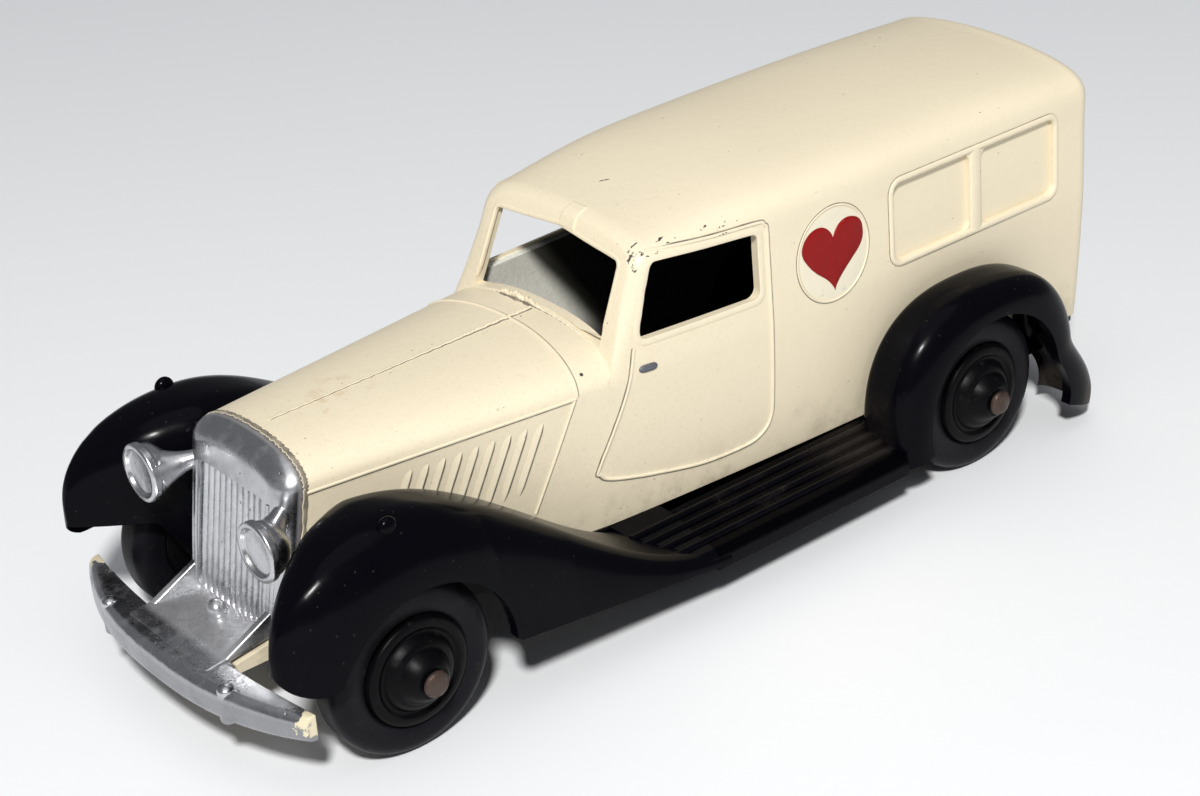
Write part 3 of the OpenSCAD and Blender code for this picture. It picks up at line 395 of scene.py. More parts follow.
def cream_paint():
    """Thick old enamel: slow shifts of tone, orange peel, dust specks, grime and painted shade at the foot of
    every raised line, grime low on the sides, a brown smudge on the bonnet, and dark chips along the roof's
    edge above the door. One scratch lies on the roof, and one dot beside the bonnet."""
    made, shader, place = finish("cream_enamel")
    x, y, z = place.axes()
    tone, fine = place.noise(0.06, 3, 0.6), place.noise(1.6, 4, 0.6)
    peel, grit = place.noise(0.9, 2, 0.5), place.noise(3.4, 2, 0.5)
    specks = (1 - place.cells(0.55).ramp(0.03, 0.09)) * place.noise(0.11, 2, 0.5).ramp(0.55, 0.66)
    # Grime and painted shade at the foot of raised lines, heavier on their shadow side
    grime_and_shade = place.grime_and_shade() * (0.30 + place.noise(0.7, 4, 0.6))
    long = place.node("ShaderNodeMapping", None, {"Vector": place, "Scale": (0.45, 1, 1)})
    gutter = z.band(31.9, 32.6, 33.3, 33.9) * x.band(-16.0, -2.0, 6.4, 7.4) * y.ramp(8.4, 9.4)
    pillar = abs(x - 5.6).ramp(1.6, 0.4) * abs(z - 32.4).ramp(1.7, 0.5) * y.ramp(8.6, 9.6)
    chips = (long.noise(2.1, 3, 0.6) + gutter * 0.105 + pillar * 0.125).ramp(0.735, 0.755)
    scratch = abs(x - 0.05).ramp(0.7, 0.4) * abs(y + 0.4 + x * 0.7).ramp(0.16, 0.06) * z.ramp(33.0, 34.0)
    dot = ((x - 12.16) ** 2 + (y - 10.41) ** 2 + (z - 23.75) ** 2).ramp(0.04, 0.02)
    chips = chips.high(scratch * place.noise(2.6, 2, 0.5).ramp(0.4, 0.5)).high(dot)
    freckles = place.noise(3.6, 2, 0.5).ramp(0.54, 0.72) * (0.06 + x.ramp(-12.0, 6.0) * 0.10)
    low_dirt = z.ramp(14.0, 8.0) * place.noise(0.35, 4, 0.6).ramp(0.42, 0.7)
    smudge = x.band(26.0, 29.0, 33.0, 36.5) * abs(y).ramp(5.0, 1.5) * z.ramp(24.0, 24.8)
    smudge = smudge * place.noise(0.6, 4, 0.6).ramp(0.52, 0.70)
    base = coats(tone.tint((0.79, 0.70, 0.515), (0.85, 0.755, 0.56)),
                 (fine.ramp(0.5, 0.8) * 0.25, (0.72, 0.62, 0.43)),
                 (freckles, (0.50, 0.40, 0.27)),
                 (low_dirt * 0.45, (0.42, 0.35, 0.23)),
                 (specks * 0.6, (0.30, 0.23, 0.14)),
                 (smudge * 0.3, (0.52, 0.30, 0.15)),
                 (grime_and_shade.low(0.92), (0.10, 0.085, 0.068)),
                 (chips, (0.06, 0.045, 0.045)))
    height = peel * 0.5 + grit * 0.22 - chips * 1.2 - specks * 0.3
    feed(shader, Base_Color=base, Roughness=0.36 + fine * 0.16 + chips * 0.25 + grime_and_shade * 0.2,
         Normal=bump(height, 0.55, 0.10), Coat_Weight=0.10, Coat_Roughness=0.25, Specular_IOR_Level=0.35)
    return made


def inside_with_painted_light():
    """The inside of a casting, near-black to paint the shade in the cab, with painted light: a pale patch
    round the windscreen that ends on a slant along the header's shadow.
    """
    made, shader, place = finish("grey_inside_painted_light")
    x, _, z = place.axes()
    cloud, grain = place.noise(0.12, 4, 0.6), place.noise(2.2, 3, 0.6)
    # Painted light: a pale patch on the inner walls near the windscreen, its slanted edge laid along the
    # shadow of the header; the near-black base elsewhere is painted shade
    lit_patch = (x - z * 0.69).ramp(-19.0, -16.0) * z.ramp(12.0, 16.0)
    painted_light_colour = cloud.tint((0.82, 0.81, 0.71), (0.94, 0.93, 0.82))
    base = coats(lit_patch.tint((0.05, 0.05, 0.047), painted_light_colour),
                 (grain.ramp(0.5, 0.75) * 0.15, (0.12, 0.12, 0.11)))
    feed(shader, Base_Color=base, Roughness=0.62 + grain * 0.2, Normal=bump(grain, 0.5, 0.1))
    return made


def black_enamel():
    """Deep gloss black: soft ripples, fine specks, rubbed patches low down, worn tails, and brown dust
    on the boards."""
    made, shader, place = finish("gloss_black_enamel")
    x, y, z = place.axes()
    ripple, grain = place.noise(0.16, 2, 0.5), place.noise(1.4, 4, 0.6)
    specks = (1 - place.cells(0.9).ramp(0.05, 0.11)) * z.ramp(9.0, 15.0)
    on_board = x.band(-19.0, -17.0, -4.0, 6.0) * z.ramp(6.2, 7.0) * abs(y).ramp(18.8, 17.6)
    heaps = 0.02 + x.ramp(-8.0, -17.0) * 0.6 + place.noise(0.22, 5, 0.65).ramp(0.5, 0.75) * 0.4
    dust = on_board * heaps * (0.3 + grain * 0.9)
    rub = place.noise(0.33, 5, 0.7).ramp(0.66, 0.74) * z.ramp(10.0, 5.0)
    worn = x.ramp(-43.5, -45.0) * z.ramp(5.2, 3.4) * place.noise(0.5, 5, 0.65).ramp(0.36, 0.52)
    base = coats(ripple.tint((0.0010, 0.0010, 0.0022), (0.0022, 0.0022, 0.0038)),
                 (specks * 0.35, (0.05, 0.046, 0.042)),
                 (rub * 0.6, (0.06, 0.055, 0.05)),
                 ((dust * 0.45).low(0.7), (0.085, 0.07, 0.056)),
                 (worn * 0.6, (0.10, 0.082, 0.068)))
    rough = 0.17 + grain * 0.07 + rub * 0.3 + dust * 0.5 + worn * 0.3
    height = ripple + grain * 0.10 - rub * 0.3 + dust * 0.3 * grain
    feed(shader, Base_Color=base, Roughness=rough.low(0.85), Normal=bump(height, 0.35, 0.12),
         Specular_IOR_Level=0.055, Coat_Weight=0.025, Coat_Roughness=0.10)
    return made


def satin_black():
    """Hub enamel gone dull: cloudy tone, fine grain and scattered pale scuffs."""
    made, shader, place = finish("satin_black_enamel")
    cloud, grain = place.noise(0.35, 4, 0.6), place.noise(2.6, 4, 0.6)
    scuff = place.noise(0.8, 5, 0.7).ramp(0.58, 0.72)
    base = coats(cloud.tint((0.0012, 0.0012, 0.0019), (0.0032, 0.003, 0.0036)),
                 (scuff * 0.3, (0.03, 0.027, 0.025)))
    feed(shader, Base_Color=base, Roughness=0.30 + cloud * 0.14 + scuff * 0.2,
         Normal=bump(grain * 0.7 + cloud, 0.4, 0.06), Specular_IOR_Level=0.08)
    return made


def cast_metal():
    """Bright bare casting: soft mottling, flow marks, fine grain, small pits, dirt at the joint with the
    bonnet, grime and painted shade at the foot of the grille slats, a duller tray, a bumper face painted
    darker as a painted shade on its reflection, and old cream paint on the tips of the bumper."""
    made, shader, place = finish("bright_casting")
    x, y, z = place.axes()
    y = abs(y)
    cloud, flow, grain = place.noise(0.22, 3, 0.5), place.noise(0.6, 3, 0.5, 1.2), place.noise(3.0, 3, 0.6)
    pits = 1 - place.cells(0.8).ramp(0.04, 0.12)
    dirt = place.noise(0.4, 5, 0.6).ramp(0.50, 0.74)
    seam = abs(x + RAKE * (z - SILL) - NOSE - 0.1).ramp(0.6, 0.1)
    # Grime and painted shade at the foot of the grille slats
    foot = place.grime_and_shade()
    cream = (place.noise(0.42, 4, 0.6) + y.ramp(13.5, 17.5) * 0.13).ramp(0.62, 0.65) * y.ramp(13.0, 15.5)
    # Painted shade: the lower front face of the bumper is painted darker, to hold down its reflection of the
    # floor
    blade = x.ramp(44.0, 46.0) * z.ramp(8.7, 7.6)
    tray = z.ramp(11.0, 9.8) * y.ramp(6.6, 5.6) * x.ramp(49.0, 48.0)
    base = coats(cloud.tint((0.50, 0.505, 0.525), (0.70, 0.705, 0.72)),
                 (flow.ramp(0.45, 0.75) * 0.25, (0.34, 0.34, 0.36)),
                 ((dirt * 0.22).high(pits * 0.5).high(foot * 0.6), (0.10, 0.095, 0.09)),
                 (seam * (0.4 + grain * 0.7), (0.075, 0.05, 0.032)),
                 (blade * (0.4 + cloud * 0.5), (0.20, 0.20, 0.215)),
                 (cream, (0.74, 0.66, 0.46)))
    metal = (1 - cream) * (1 - dirt * 0.12) * (1 - seam * 0.8) * (1 - tray * 0.28)
    rough = 0.17 + cloud * 0.12 + grain * 0.08 + dirt * 0.14 + cream * 0.2 + foot * 0.2
    height = cloud * 2.2 + flow * 0.7 + grain * 0.14 - pits * 0.5 + cream * 0.5
    feed(shader, Base_Color=base, Metallic=metal, Roughness=rough, Normal=bump(height, 0.4, 0.12))
    return made


def tyre_rubber():
    """Smooth black rubber: cloudy tone, fine grain and faint scattered scuffs."""
    made, shader, place = finish("smooth_rubber")
    cloud, grain = place.noise(0.3, 4, 0.6), place.noise(3.2, 3, 0.6)
    scuff = place.noise(0.9, 5, 0.7).ramp(0.55, 0.72)
    base = coats(cloud.tint((0.004, 0.004, 0.006), (0.008, 0.008, 0.0105)),
                 (scuff * 0.35, (0.03, 0.029, 0.029)))
    feed(shader, Base_Color=base, Roughness=0.33 + cloud * 0.15 + scuff * 0.2,
         Normal=bump(grain * 0.6 + scuff * 0.4, 0.4, 0.06), Specular_IOR_Level=0.10)
    return made


def rusty_steel():
    """Axle wire gone brown: rust blooms over dull steel."""
    made, shader, place = finish("rusty_axle")
    bloom, grain = place.noise(0.9, 5, 0.65), place.noise(4.0, 3, 0.6)
    rust = bloom.ramp(0.40, 0.60)
    base = coats(rust.tint((0.085, 0.060, 0.050), (0.048, 0.024, 0.015)),
                 (grain.ramp(0.55, 0.75) * 0.5, (0.11, 0.07, 0.05)))
    feed(shader, Base_Color=base, Metallic=0.75 - rust * 0.6, Roughness=0.42 + rust * 0.35,
         Normal=bump(bloom + grain * 0.5, 0.6, 0.08))
    return made


def red_enamel():
    """Thick brushed red enamel with darker ridges and small pale misses."""
    made, shader, place = finish("red_enamel")
    brush = place.noise(1.3, 4, 0.6)
    miss = place.noise(1.9, 4, 0.7).ramp(0.70, 0.75)
    base = coats(brush.tint((0.22, 0.006, 0.006), (0.30, 0.010, 0.010)), (miss, (0.66, 0.55, 0.42)))
    feed(shader, Base_Color=base, Roughness=0.34 + brush * 0.15, Normal=bump(brush - miss * 0.6, 0.6, 0.10),
         Specular_IOR_Level=0.15)
    return made


def white_disc():
    """A paler enamel ground with bluish specks of old overpaint."""
    made, shader, place = finish("disc_enamel")
    cloud, peel = place.noise(0.4, 3, 0.6), place.noise(1.0, 2, 0.5)
    blue = place.noise(0.85, 4, 0.6).ramp(0.64, 0.70) * 0.5
    base = coats(cloud.tint((0.79, 0.725, 0.555), (0.85, 0.785, 0.61)), (blue, (0.45, 0.52, 0.60)))
    feed(shader, Base_Color=base, Roughness=0.36 + cloud * 0.12, Normal=bump(peel, 0.5, 0.08),
         Coat_Weight=0.18, Coat_Roughness=0.25)
    return made


def worn_handle():
    """Paint worn off to dull blue-grey metal, with a little cream left in places."""
    made, shader, place = finish("worn_handle")
    wear = place.noise(1.6, 4, 0.65).ramp(0.22, 0.34)
    grain = place.noise(4.0, 3, 0.6)
    base = wear.tint((0.70, 0.62, 0.44), grain.tint((0.10, 0.105, 0.125), (0.19, 0.195, 0.22)))
    feed(shader, Base_Color=base, Metallic=wear * 0.5, Roughness=0.42 + grain * 0.2,
         Normal=bump(grain, 0.4, 0.05))
    return made


CREAM, INSIDE, BLACK, SATIN = cream_paint(), inside_with_painted_light(), black_enamel(), satin_black()
METAL, RUBBER, RUST = cast_metal(), tyre_rubber(), rusty_steel()
RED, DISC, HANDLE = red_enamel(), white_disc(), worn_handle()


# The body: stations along X, each a section from the sill over the roof

def waist_half(x):
    """Half width at the waist: straight from nose to cowl, then a parabola out to the parallel van."""
    bonnet = mix(COWL_W, NOSE_W, (x - COWL) / (NOSE - COWL)) / 2
    van = mix(VAN_W, COWL_W, np.clip((x - TAPER) / (COWL - TAPER), 0, 1) ** 2) / 2
    return np.where(x > COWL, bonnet, van)


def corner_loss(x):
    """How far the back corners are rounded in."""
    return CORNER_R * round_drop(1 - (x - BACK) / CORNER_R)


def brow_loss(x, share):
    """How far the cab is drawn in where it meets the windscreen: a quarter circle in from the pillars."""
    return np.where(x > SCREEN, 0, share * round_drop(1 - (SCREEN - x) / PILLAR_R))


def roof_height(x):
    """Crown of the roof: falls to the header, a little to the back, and rounds over at the
    tail and the brow."""
    header = HEADER_FALL * (1 - np.clip((SCREEN - x) / HEADER_L, 0, 1)) ** 2
    tail = TAIL_FALL * np.clip((TAPER - x) / TAIL_L, 0, 1) ** 2
    return ROOF - header - brow_loss(x, BROW_R) - tail - TAIL_R * round_drop(1 - (x - BACK) / TAIL_R)


def crown_rise(x):
    """How far the roof's middle stands above its edges, less towards the header."""
    return mix(0.8, 1.3, ease((SCREEN - x) / HEADER_L))


def along_bonnet(x):
    """0 at the cowl and behind it, 1 at the nose."""
    return np.clip((x - COWL) / (NOSE - COWL), 0, 1)


def edge_height(x):
    """Height of the waist, and of the bonnet's edge ahead of it."""
    return mix(WAIST, NOSE_EDGE, along_bonnet(x))


def bonnet_height(x):
    """Height of the bonnet's middle line."""
    return mix(BONNET, NOSE_TOP, along_bonnet(x))


def lean_in(x):
    """How far the walls lean in from waist to roof, more towards the windscreen."""
    return mix(0.6, 0.3, ease((SCREEN - x) / LEAN_L)) + brow_loss(x, PILLAR_R)


def station_shift(x, z):
    """How far a station's point moves along X: nose and windscreen lean back, and the foot of the back
    stands in."""
    fade = np.where(x > SCREEN, np.clip((COWL - x) / (COWL - SCREEN), 0, 1), 1 - ease((SCREEN - x) / LEAN_L))
    rear = BACK_LEAN * (ROOF - z) / (ROOF - SILL) * np.clip((REAR_AXLE - x) / (REAR_AXLE - BACK), 0, 1) ** 2
    return np.where(x > COWL, -RAKE * (z - SILL) * (x - COWL) / (NOSE - COWL),
                    LEAN * (BONNET - np.maximum(z, WAIST)) * fade + rear)


def station_at(place_x, z):
    """The station whose shifted point lies at a place, found by a few repeats."""
    x = np.asarray(place_x, float)
    for _ in range(8):
        x = place_x - station_shift(x, z)
    return x


def wall_y(place_x, z):
    """Half width of cab, van or bonnet side at a place: tucked in below the waist by a square, leaning
    in above it, and rolled into the top by a superellipse."""
    place_x, z = np.broadcast_arrays(np.asarray(place_x, float), np.asarray(z, float))
    x = station_at(place_x, z)
    w = waist_half(x) - corner_loss(x)
    edge = edge_height(x)
    below = w - TUCK * (1 - (z - SILL) / (edge - SILL)) ** 2
    top = w - lean_in(x)
    pillar = mix(w, top, (z - edge) / (WALL_TOP - edge))
    roll = np.clip((z - WALL_TOP) / (roof_height(x) - crown_rise(x) - WALL_TOP), 0, 1)
    van = np.where(z < WALL_TOP, pillar, top * arch(roll, ROOF_POWER))
    up = np.clip((z - edge) / (bonnet_height(x) - edge), 0, 1)
    return np.where(z < edge, below, np.where(x > SCREEN, w * arch(up, CROWN_POWER), van))


def bonnet_top(x, y):
    """Height of the bonnet at a place: the superellipse of the section at its station, found by a few
    repeats."""
    z = np.full_like(x, BONNET)
    for _ in range(6):
        station = station_at(x, z)
        across = np.clip(np.abs(y) / waist_half(station), 0, 1)
        z = mix(edge_height(station), bonnet_height(station), arch(across, CROWN_POWER))
    return z


def slopes(height, a, b, step=0.05):
    """Slopes of a height along its two coordinates, from small differences."""
    return ((height(a + step, b) - height(a - step, b)) / (2 * step),
            (height(a, b + step) - height(a, b - step)) / (2 * step))


def side_points(x, z):
    """Points on the left body side, and the wall's normals there."""
    x, z = np.asarray(x, float), np.asarray(z, float)
    along, up = slopes(wall_y, x, z)
    return join(x, wall_y(x, z), z), unit(join(-along, 1.0, -up))


def bonnet_points(x, y):
    """Points on top of the bonnet, and its normals there."""
    along, across = slopes(bonnet_top, x, y)
    return join(x, y, bonnet_top(x, y)), unit(join(-along, -across, 1.0))


def seam_points(angle):
    """The seam at the back of the bonnet, over the crown from side to side, its ends swept forward by
    a square."""
    side = np.sign(np.cos(angle))
    qy, qz = super_quarter(np.where(angle < np.pi / 2, angle, np.pi - angle), CROWN_POWER)
    x = COWL - 0.8 + 1.5 * qy ** 2
    z = mix(edge_height(x), bonnet_height(x), qz)
    spot = join(x + station_shift(x, z), side * waist_half(x) * qy, z)
    return spot, unit(join(0.1, side * qy ** 1.3, 2.4 * qz ** 1.3))


def body_rings(x, cab, inset, drop, side_n, pillar_n, roof_n):
    """Whole sections at stations x: tucked side, then a pillar and the roof's superellipse, or the
    bonnet's."""
    x = np.asarray(x, float)[:, None]
    w = waist_half(x) - corner_loss(x) - inset
    edge = edge_height(x)
    t = np.arange(side_n) / side_n
    y, z = [w - TUCK * (1 - t) ** 2], [mix(SILL - drop, edge, t)]
    if cab:
        t = np.arange(pillar_n) / pillar_n
        top, rise = w - lean_in(x), crown_rise(x)
        knee = 0.5 ** (1 / ROOF_POWER)
        up = np.linspace(0, knee, roof_n // 2, endpoint=False)
        over = np.linspace(knee, 0, roof_n - roof_n // 2 + 1)
        qy = np.concatenate([arch(up, ROOF_POWER), over])
        qz = np.concatenate([up, arch(over, ROOF_POWER)])
        y += [mix(w, top, t), top * qy]
        z += [mix(edge, WALL_TOP, t),
              mix(WALL_TOP, roof_height(x) - rise - inset, qz) + rise * (1 - qy ** 2)]
    else:
        qy, qz = super_quarter(np.linspace(0, np.pi / 2, pillar_n + roof_n + 1), CROWN_POWER)
        y.append(w * qy)
        z.append(mix(edge, bonnet_height(x) - inset, qz))
    y, z = (np.concatenate([np.broadcast_to(part, (len(x), part.shape[-1])) for part in parts], 1)
            for parts in (y, z))
    y = np.concatenate([0 * y[:, :1], y, -y[:, -2::-1]], 1)
    z = np.concatenate([z[:, :1], z, z[:, -2::-1]], 1)
    return join(x + station_shift(x, z), y, z)


def body_form(inset, drop, counts, bonnet_n, brow_n, cab_n, round_n):
    """The closed body, inset by a wall thickness for its hollow."""
    screen = SCREEN - inset
    bonnet = np.linspace(NOSE - inset, screen, bonnet_n)
    brow = mix(screen - 0.1, screen - PILLAR_R, np.linspace(0, 1, brow_n, endpoint=False) ** 2)
    cab = mix(screen - PILLAR_R, BACK + TAIL_R, np.linspace(0, 1, cab_n) ** 1.2)
    tail = mix(BACK + TAIL_R, BACK + inset, np.sin(np.linspace(0, np.pi / 2, round_n + 1)[1:]))
    return skin(np.concatenate([
        body_rings(bonnet, False, inset, drop, *counts),
        body_rings(np.concatenate([brow, cab, tail]), True, inset, drop, *counts)]), True, "fan")


# Door windows, round panel, blind windows and windscreen
LIGHT_FRONT, LIGHT_BACK, LIGHT_LOW, LIGHT_TOP = SCREEN - 2.1, SCREEN - 15.5, 25.2, 31.6
DOOR_BACK = LIGHT_BACK - 1.4
DISC_X, DISC_Z, DISC_L, DISC_R, HEART_R = DOOR_BACK - 7.7, WAIST + 4.35, 4.35, 4.65, 4.0
BLIND_X, BLIND_Z, BLIND_L, BLIND_H, BLIND_BAR = DISC_X - 7.65, WAIST + 0.9, 10.2, 7.8, 1.7
BLIND_2 = BLIND_X - BLIND_L - BLIND_BAR
LOUVRES, LOUVRE_PITCH, LOUVRE_TURN, CREASE_Z = 9, 1.6, 24, 22.1
SCREEN_W, TAB_Y = 9.1, 1.2
LIGHT = rounded([(LIGHT_FRONT + 0.4, LIGHT_LOW - 0.2), (LIGHT_FRONT - 2, LIGHT_TOP + 0.7),
                 (LIGHT_BACK - 0.6, LIGHT_TOP), (LIGHT_BACK - 0.6, LIGHT_LOW - 0.5)], 1.0)


def screen_foot(y):
    """Lower edge of the windscreen opening: a tenth above the crown of the bonnet, filled at the corners."""
    crown = mix(WAIST, BONNET, arch(np.abs(y) * 2 / COWL_W, CROWN_POWER))
    return crown + 0.1 + 0.25 * np.clip((np.abs(y) - 7.4) / 1.7, 0, 1) ** 2


# The arcs at both lower corners are left out, because the foot takes their place
FOOT_Y = np.linspace(-SCREEN_W, SCREEN_W, 41)
FRAME = rounded([(SCREEN_W, BONNET), (SCREEN_W - 0.3, LIGHT_TOP + 0.4), (0, LIGHT_TOP + 1.1),
                 (-SCREEN_W + 0.3, LIGHT_TOP + 0.4), (-SCREEN_W, BONNET)], 0.7)
GLASS = np.vstack([join(FOOT_Y, screen_foot(FOOT_Y)), FRAME[ARC_STEPS + 1:-ARC_STEPS - 1]])


def on_screen(out, y, z):
    """A point so far out from the leaning windscreen."""
    return join(SCREEN + out + LEAN * (BONNET - z), y, z)


def blind_outline(first_x, last_x, grow):
    """Rounded rectangle of the blind windows, grown all round."""
    return rounded(box(first_x + grow, last_x - grow, BLIND_Z - grow, BLIND_Z + BLIND_H + grow), 0.9 + grow)


def smooth_path(points, per=10):
    """A Catmull-Rom curve through the points: each span a cubic whose slopes come from the neighbours."""
    p = np.asarray(points, float)
    p = np.vstack([2 * p[0] - p[1], p, 2 * p[-1] - p[-2]])
    t = np.linspace(0, 1, per, endpoint=False)[None, :, None]
    a, b, c, d = (p[i:len(p) - 3 + i][:, None] for i in range(4))
    curve = 0.5 * (2 * b + (c - a) * t + (2 * a - 5 * b + 4 * c - d) * t ** 2
                   + (3 * b - a - 3 * c + d) * t ** 3)
    return np.vstack([curve.reshape(-1, p.shape[1]), p[-2:-1]])


def dense(outline, step=0.35):
    """A closed outline cut into even short steps."""
    p = np.vstack([outline, outline[:1]])
    far = np.concatenate([[0], np.cumsum(np.linalg.norm(np.diff(p, axis=0), axis=1))])
    at = np.linspace(0, far[-1], int(far[-1] / step), endpoint=False)
    return np.stack([np.interp(at, far, p[:, i]) for i in range(p.shape[1])], -1)


def side_pair(path, half_w, lift, closed=False, **more):
    """A raised line along (x, z) points on both body sides."""
    spot, normal = side_points(*path.T)
    return both(ridge(spot, normal, half_w, lift, closed=closed, **more))


def cut_shell():
    """The hollow form with its windows, wheel openings and shallow blind windows cut."""
    shell = piece("body_shell", [body_form(0, 0, (22, 22, 44), 64, 14, 150, 22)], CREAM)
    hollow = body_form(WALL, 1, (10, 10, 20), 24, 6, 40, 8)
    # The inner walls and the far window's cut faces take the inside's painted light and painted shade
    carve(shell, [hollow, prism(LIGHT, -VAN_W, 0, along_y)], INSIDE)
    cutters = [prism(LIGHT, 0, VAN_W, along_y), prism(GLASS, SCREEN - 5.5, SCREEN + 2.5, along_x)]
    for r, x, steps in ((ARCH_R + 0.4, REAR_AXLE, 96), (1.4, FRONT_AXLE, 48)):
        cutters.append(lathe([(r, 0), (r, 2 * VAN_W)], (x, -VAN_W, AXLE_Z), (0, 1, 0), steps))
    tilt = 0.3 / (WALL_TOP - WAIST)
    for first in (BLIND_X, BLIND_2):
        floor_y = float(wall_y(first, BLIND_Z)) - 0.45
        sink = lambda u, v, w: (u, np.where(w > 0, VAN_W, floor_y - tilt * (v - BLIND_Z)), v)
        cutters += both(prism(blind_outline(first, first - BLIND_L, 0), 0, 1, sink))
    carve(shell, cutters, CREAM)
    finish_faces(shell, 32)
    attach(shell, "car")
    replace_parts(shell, "body_casting")


def side_lines():
    """The door's outline, the frame and bar of the blind windows, and the rim of the round panel."""
    door = smooth_path([
        (LIGHT_FRONT + 0.5, LIGHT_LOW - 0.4), (LIGHT_FRONT + 1.8, WAIST - 1.5),
        (LIGHT_FRONT + 4.8, WAIST - 7.6), (LIGHT_FRONT + 4.8, WAIST - 8.5),
        (LIGHT_FRONT + 3.4, WAIST - 9.4), (LIGHT_FRONT - 1.5, WAIST - 10.6),
        (LIGHT_FRONT - 6.5, WAIST - 11.5), (DOOR_BACK + 3.2, WAIST - 11.6),
        (DOOR_BACK + 1.2, WAIST - 11), (DOOR_BACK + 0.2, WAIST - 9.6), (DOOR_BACK, WAIST - 7),
        (DOOR_BACK, WAIST), (DOOR_BACK, LIGHT_TOP - 1), (DOOR_BACK + 0.3, LIGHT_TOP + 0.3),
        (DOOR_BACK + 1.2, LIGHT_TOP + 0.7), (LIGHT_BACK + 5, LIGHT_TOP + 0.9),
        (LIGHT_FRONT - 2.2, LIGHT_TOP + 1.3)])
    lines = side_pair(door + 0.02 * wobble(door * 1.7, 6), 0.16, 0.17, shape=BEAD, clean=-1)
    lines += side_pair(dense(blind_outline(BLIND_X, BLIND_2 - BLIND_L, 0.3)), 0.34, 0.22, True, clean=1)
    bar = join(BLIND_2 + BLIND_BAR / 2, np.linspace(BLIND_Z - 0.2, BLIND_Z + BLIND_H + 0.2, 40))
    lines += side_pair(bar, 0.76, 0.22, shape=PLAIN)
    a = np.linspace(0, 2 * np.pi, 120, endpoint=False)
    rim = join(DISC_X + DISC_L * np.cos(a), DISC_Z + DISC_R * np.sin(a))
    return lines + side_pair(rim, 0.12, 0.09, True, shape=BEAD, clean=1)


def bonnet_lines():
    """Louvres, side creases, the rear seam, the grime seam at the nose, and the hinge with its ragged
    flash."""
    lines = []
    fade = np.sqrt(np.clip(np.minimum(np.linspace(0.05, 8, 24), np.linspace(8, 0.05, 24)), 0, 1))
    for i in range(LOUVRES):
        top_x = COWL + 4.2 + i * LOUVRE_PITCH
        down = np.linspace(0, 6.2, 24)
        slot = join(top_x + down * math.tan(math.radians(LOUVRE_TURN)), edge_height(top_x) - 1.4 - down)
        lines += side_pair(slot, 0.11 * fade, 0.14 * fade, shape=LOUVRE)
    crease = join(np.linspace(COWL + 0.8, NOSE - 2.6, 60), CREASE_Z)
    lines += side_pair(crease, 0.15, 0.12, shape=BEAD, clean=1)
    z = np.linspace(CREASE_Z, 12.2, 30)
    lines += side_pair(join(COWL + 0.84 + (CREASE_Z - z) * 0.465, z), 0.13, 0.13, shape=BEAD, clean=1)
    lines.append(ridge(*seam_points(np.linspace(0, np.pi, 160)), 0.13, 0.11, shape=BEAD, clean=-1))

    ring = body_rings([NOSE - 0.16], False, 0, 0, 22, 22, 44)[0]
    ring = ring[ring[:, 2] > 11]
    along = np.gradient(ring, axis=0)
    rough = wobble(np.arange(len(ring)) * 0.9, 31)
    out = unit(join(0, along[:, 2], -along[:, 1]))
    lines.append(ridge(ring, out, 0.26 + 0.13 * rough, 0.04, shape=STRIP))

    x = np.linspace(SCREEN + 0.6, NOSE - 4.5, 260)
    spot, normal = bonnet_points(x, 0.06 * wobble(x, 5))
    ragged = ease((24.5 - x) / 12)
    flash = 0.08 + ragged * (0.12 + 0.07 * wobble(x * 2.6, 8) + 0.05 * wobble(x * 7, 9))
    lines.append(ridge(spot, normal, 0.12 + 0.06 * ragged, np.maximum(flash, 0.04), shape=BEAD, clean=1))
    return lines


def window_lines():
    """Torn flash along the foot of the windscreen, tallest beside the hinge, and rolled lips round the
    windows."""
    y = np.linspace(-7.7, 7.7, 300)
    torn = np.exp(-((y + 2.2) / 2.6) ** 4)
    rough = 0.6 * wobble(y * 2.3, 3) + 0.4 * wobble(y * 6, 4)
    spot = on_screen(0.12 + 0.12 * torn * rough, y, screen_foot(y) - 0.1 + 0.04 * rough)
    height = np.maximum(0.07 + 0.05 * rough + torn * (0.48 + 0.40 * rough), 0.02)
    lines = [ridge(spot, (0.1, 0, 0.995), 0.15 + 0.15 * torn, height, shape=BEAD, clean=-1)]

    lip = dense(LIGHT, 0.25)
    lines += side_pair(lip + 0.04 * wobble(lip * 2.6, 18), 0.32, 0.06, True, shape=PLAIN)
    lip = dense(GLASS, 0.25)
    high = lip[:, 1] > BONNET - 0.3
    first = int(np.argmax(~high & np.roll(high, -1))) + 1
    lip = np.roll(lip, -first, 0)[np.roll(high, -first)]
    y, z = (lip + 0.05 * wobble(lip * 2.2, 17)).T
    fade = np.clip((z - BONNET + 0.25) / 1.2, 0.02, 1)
    lines.append(ridge(on_screen(-0.15, y, z), (0.922, 0, 0.387), 0.22 * fade, 0.13 * fade - 0.02,
                       shape=PLAIN))
    return lines


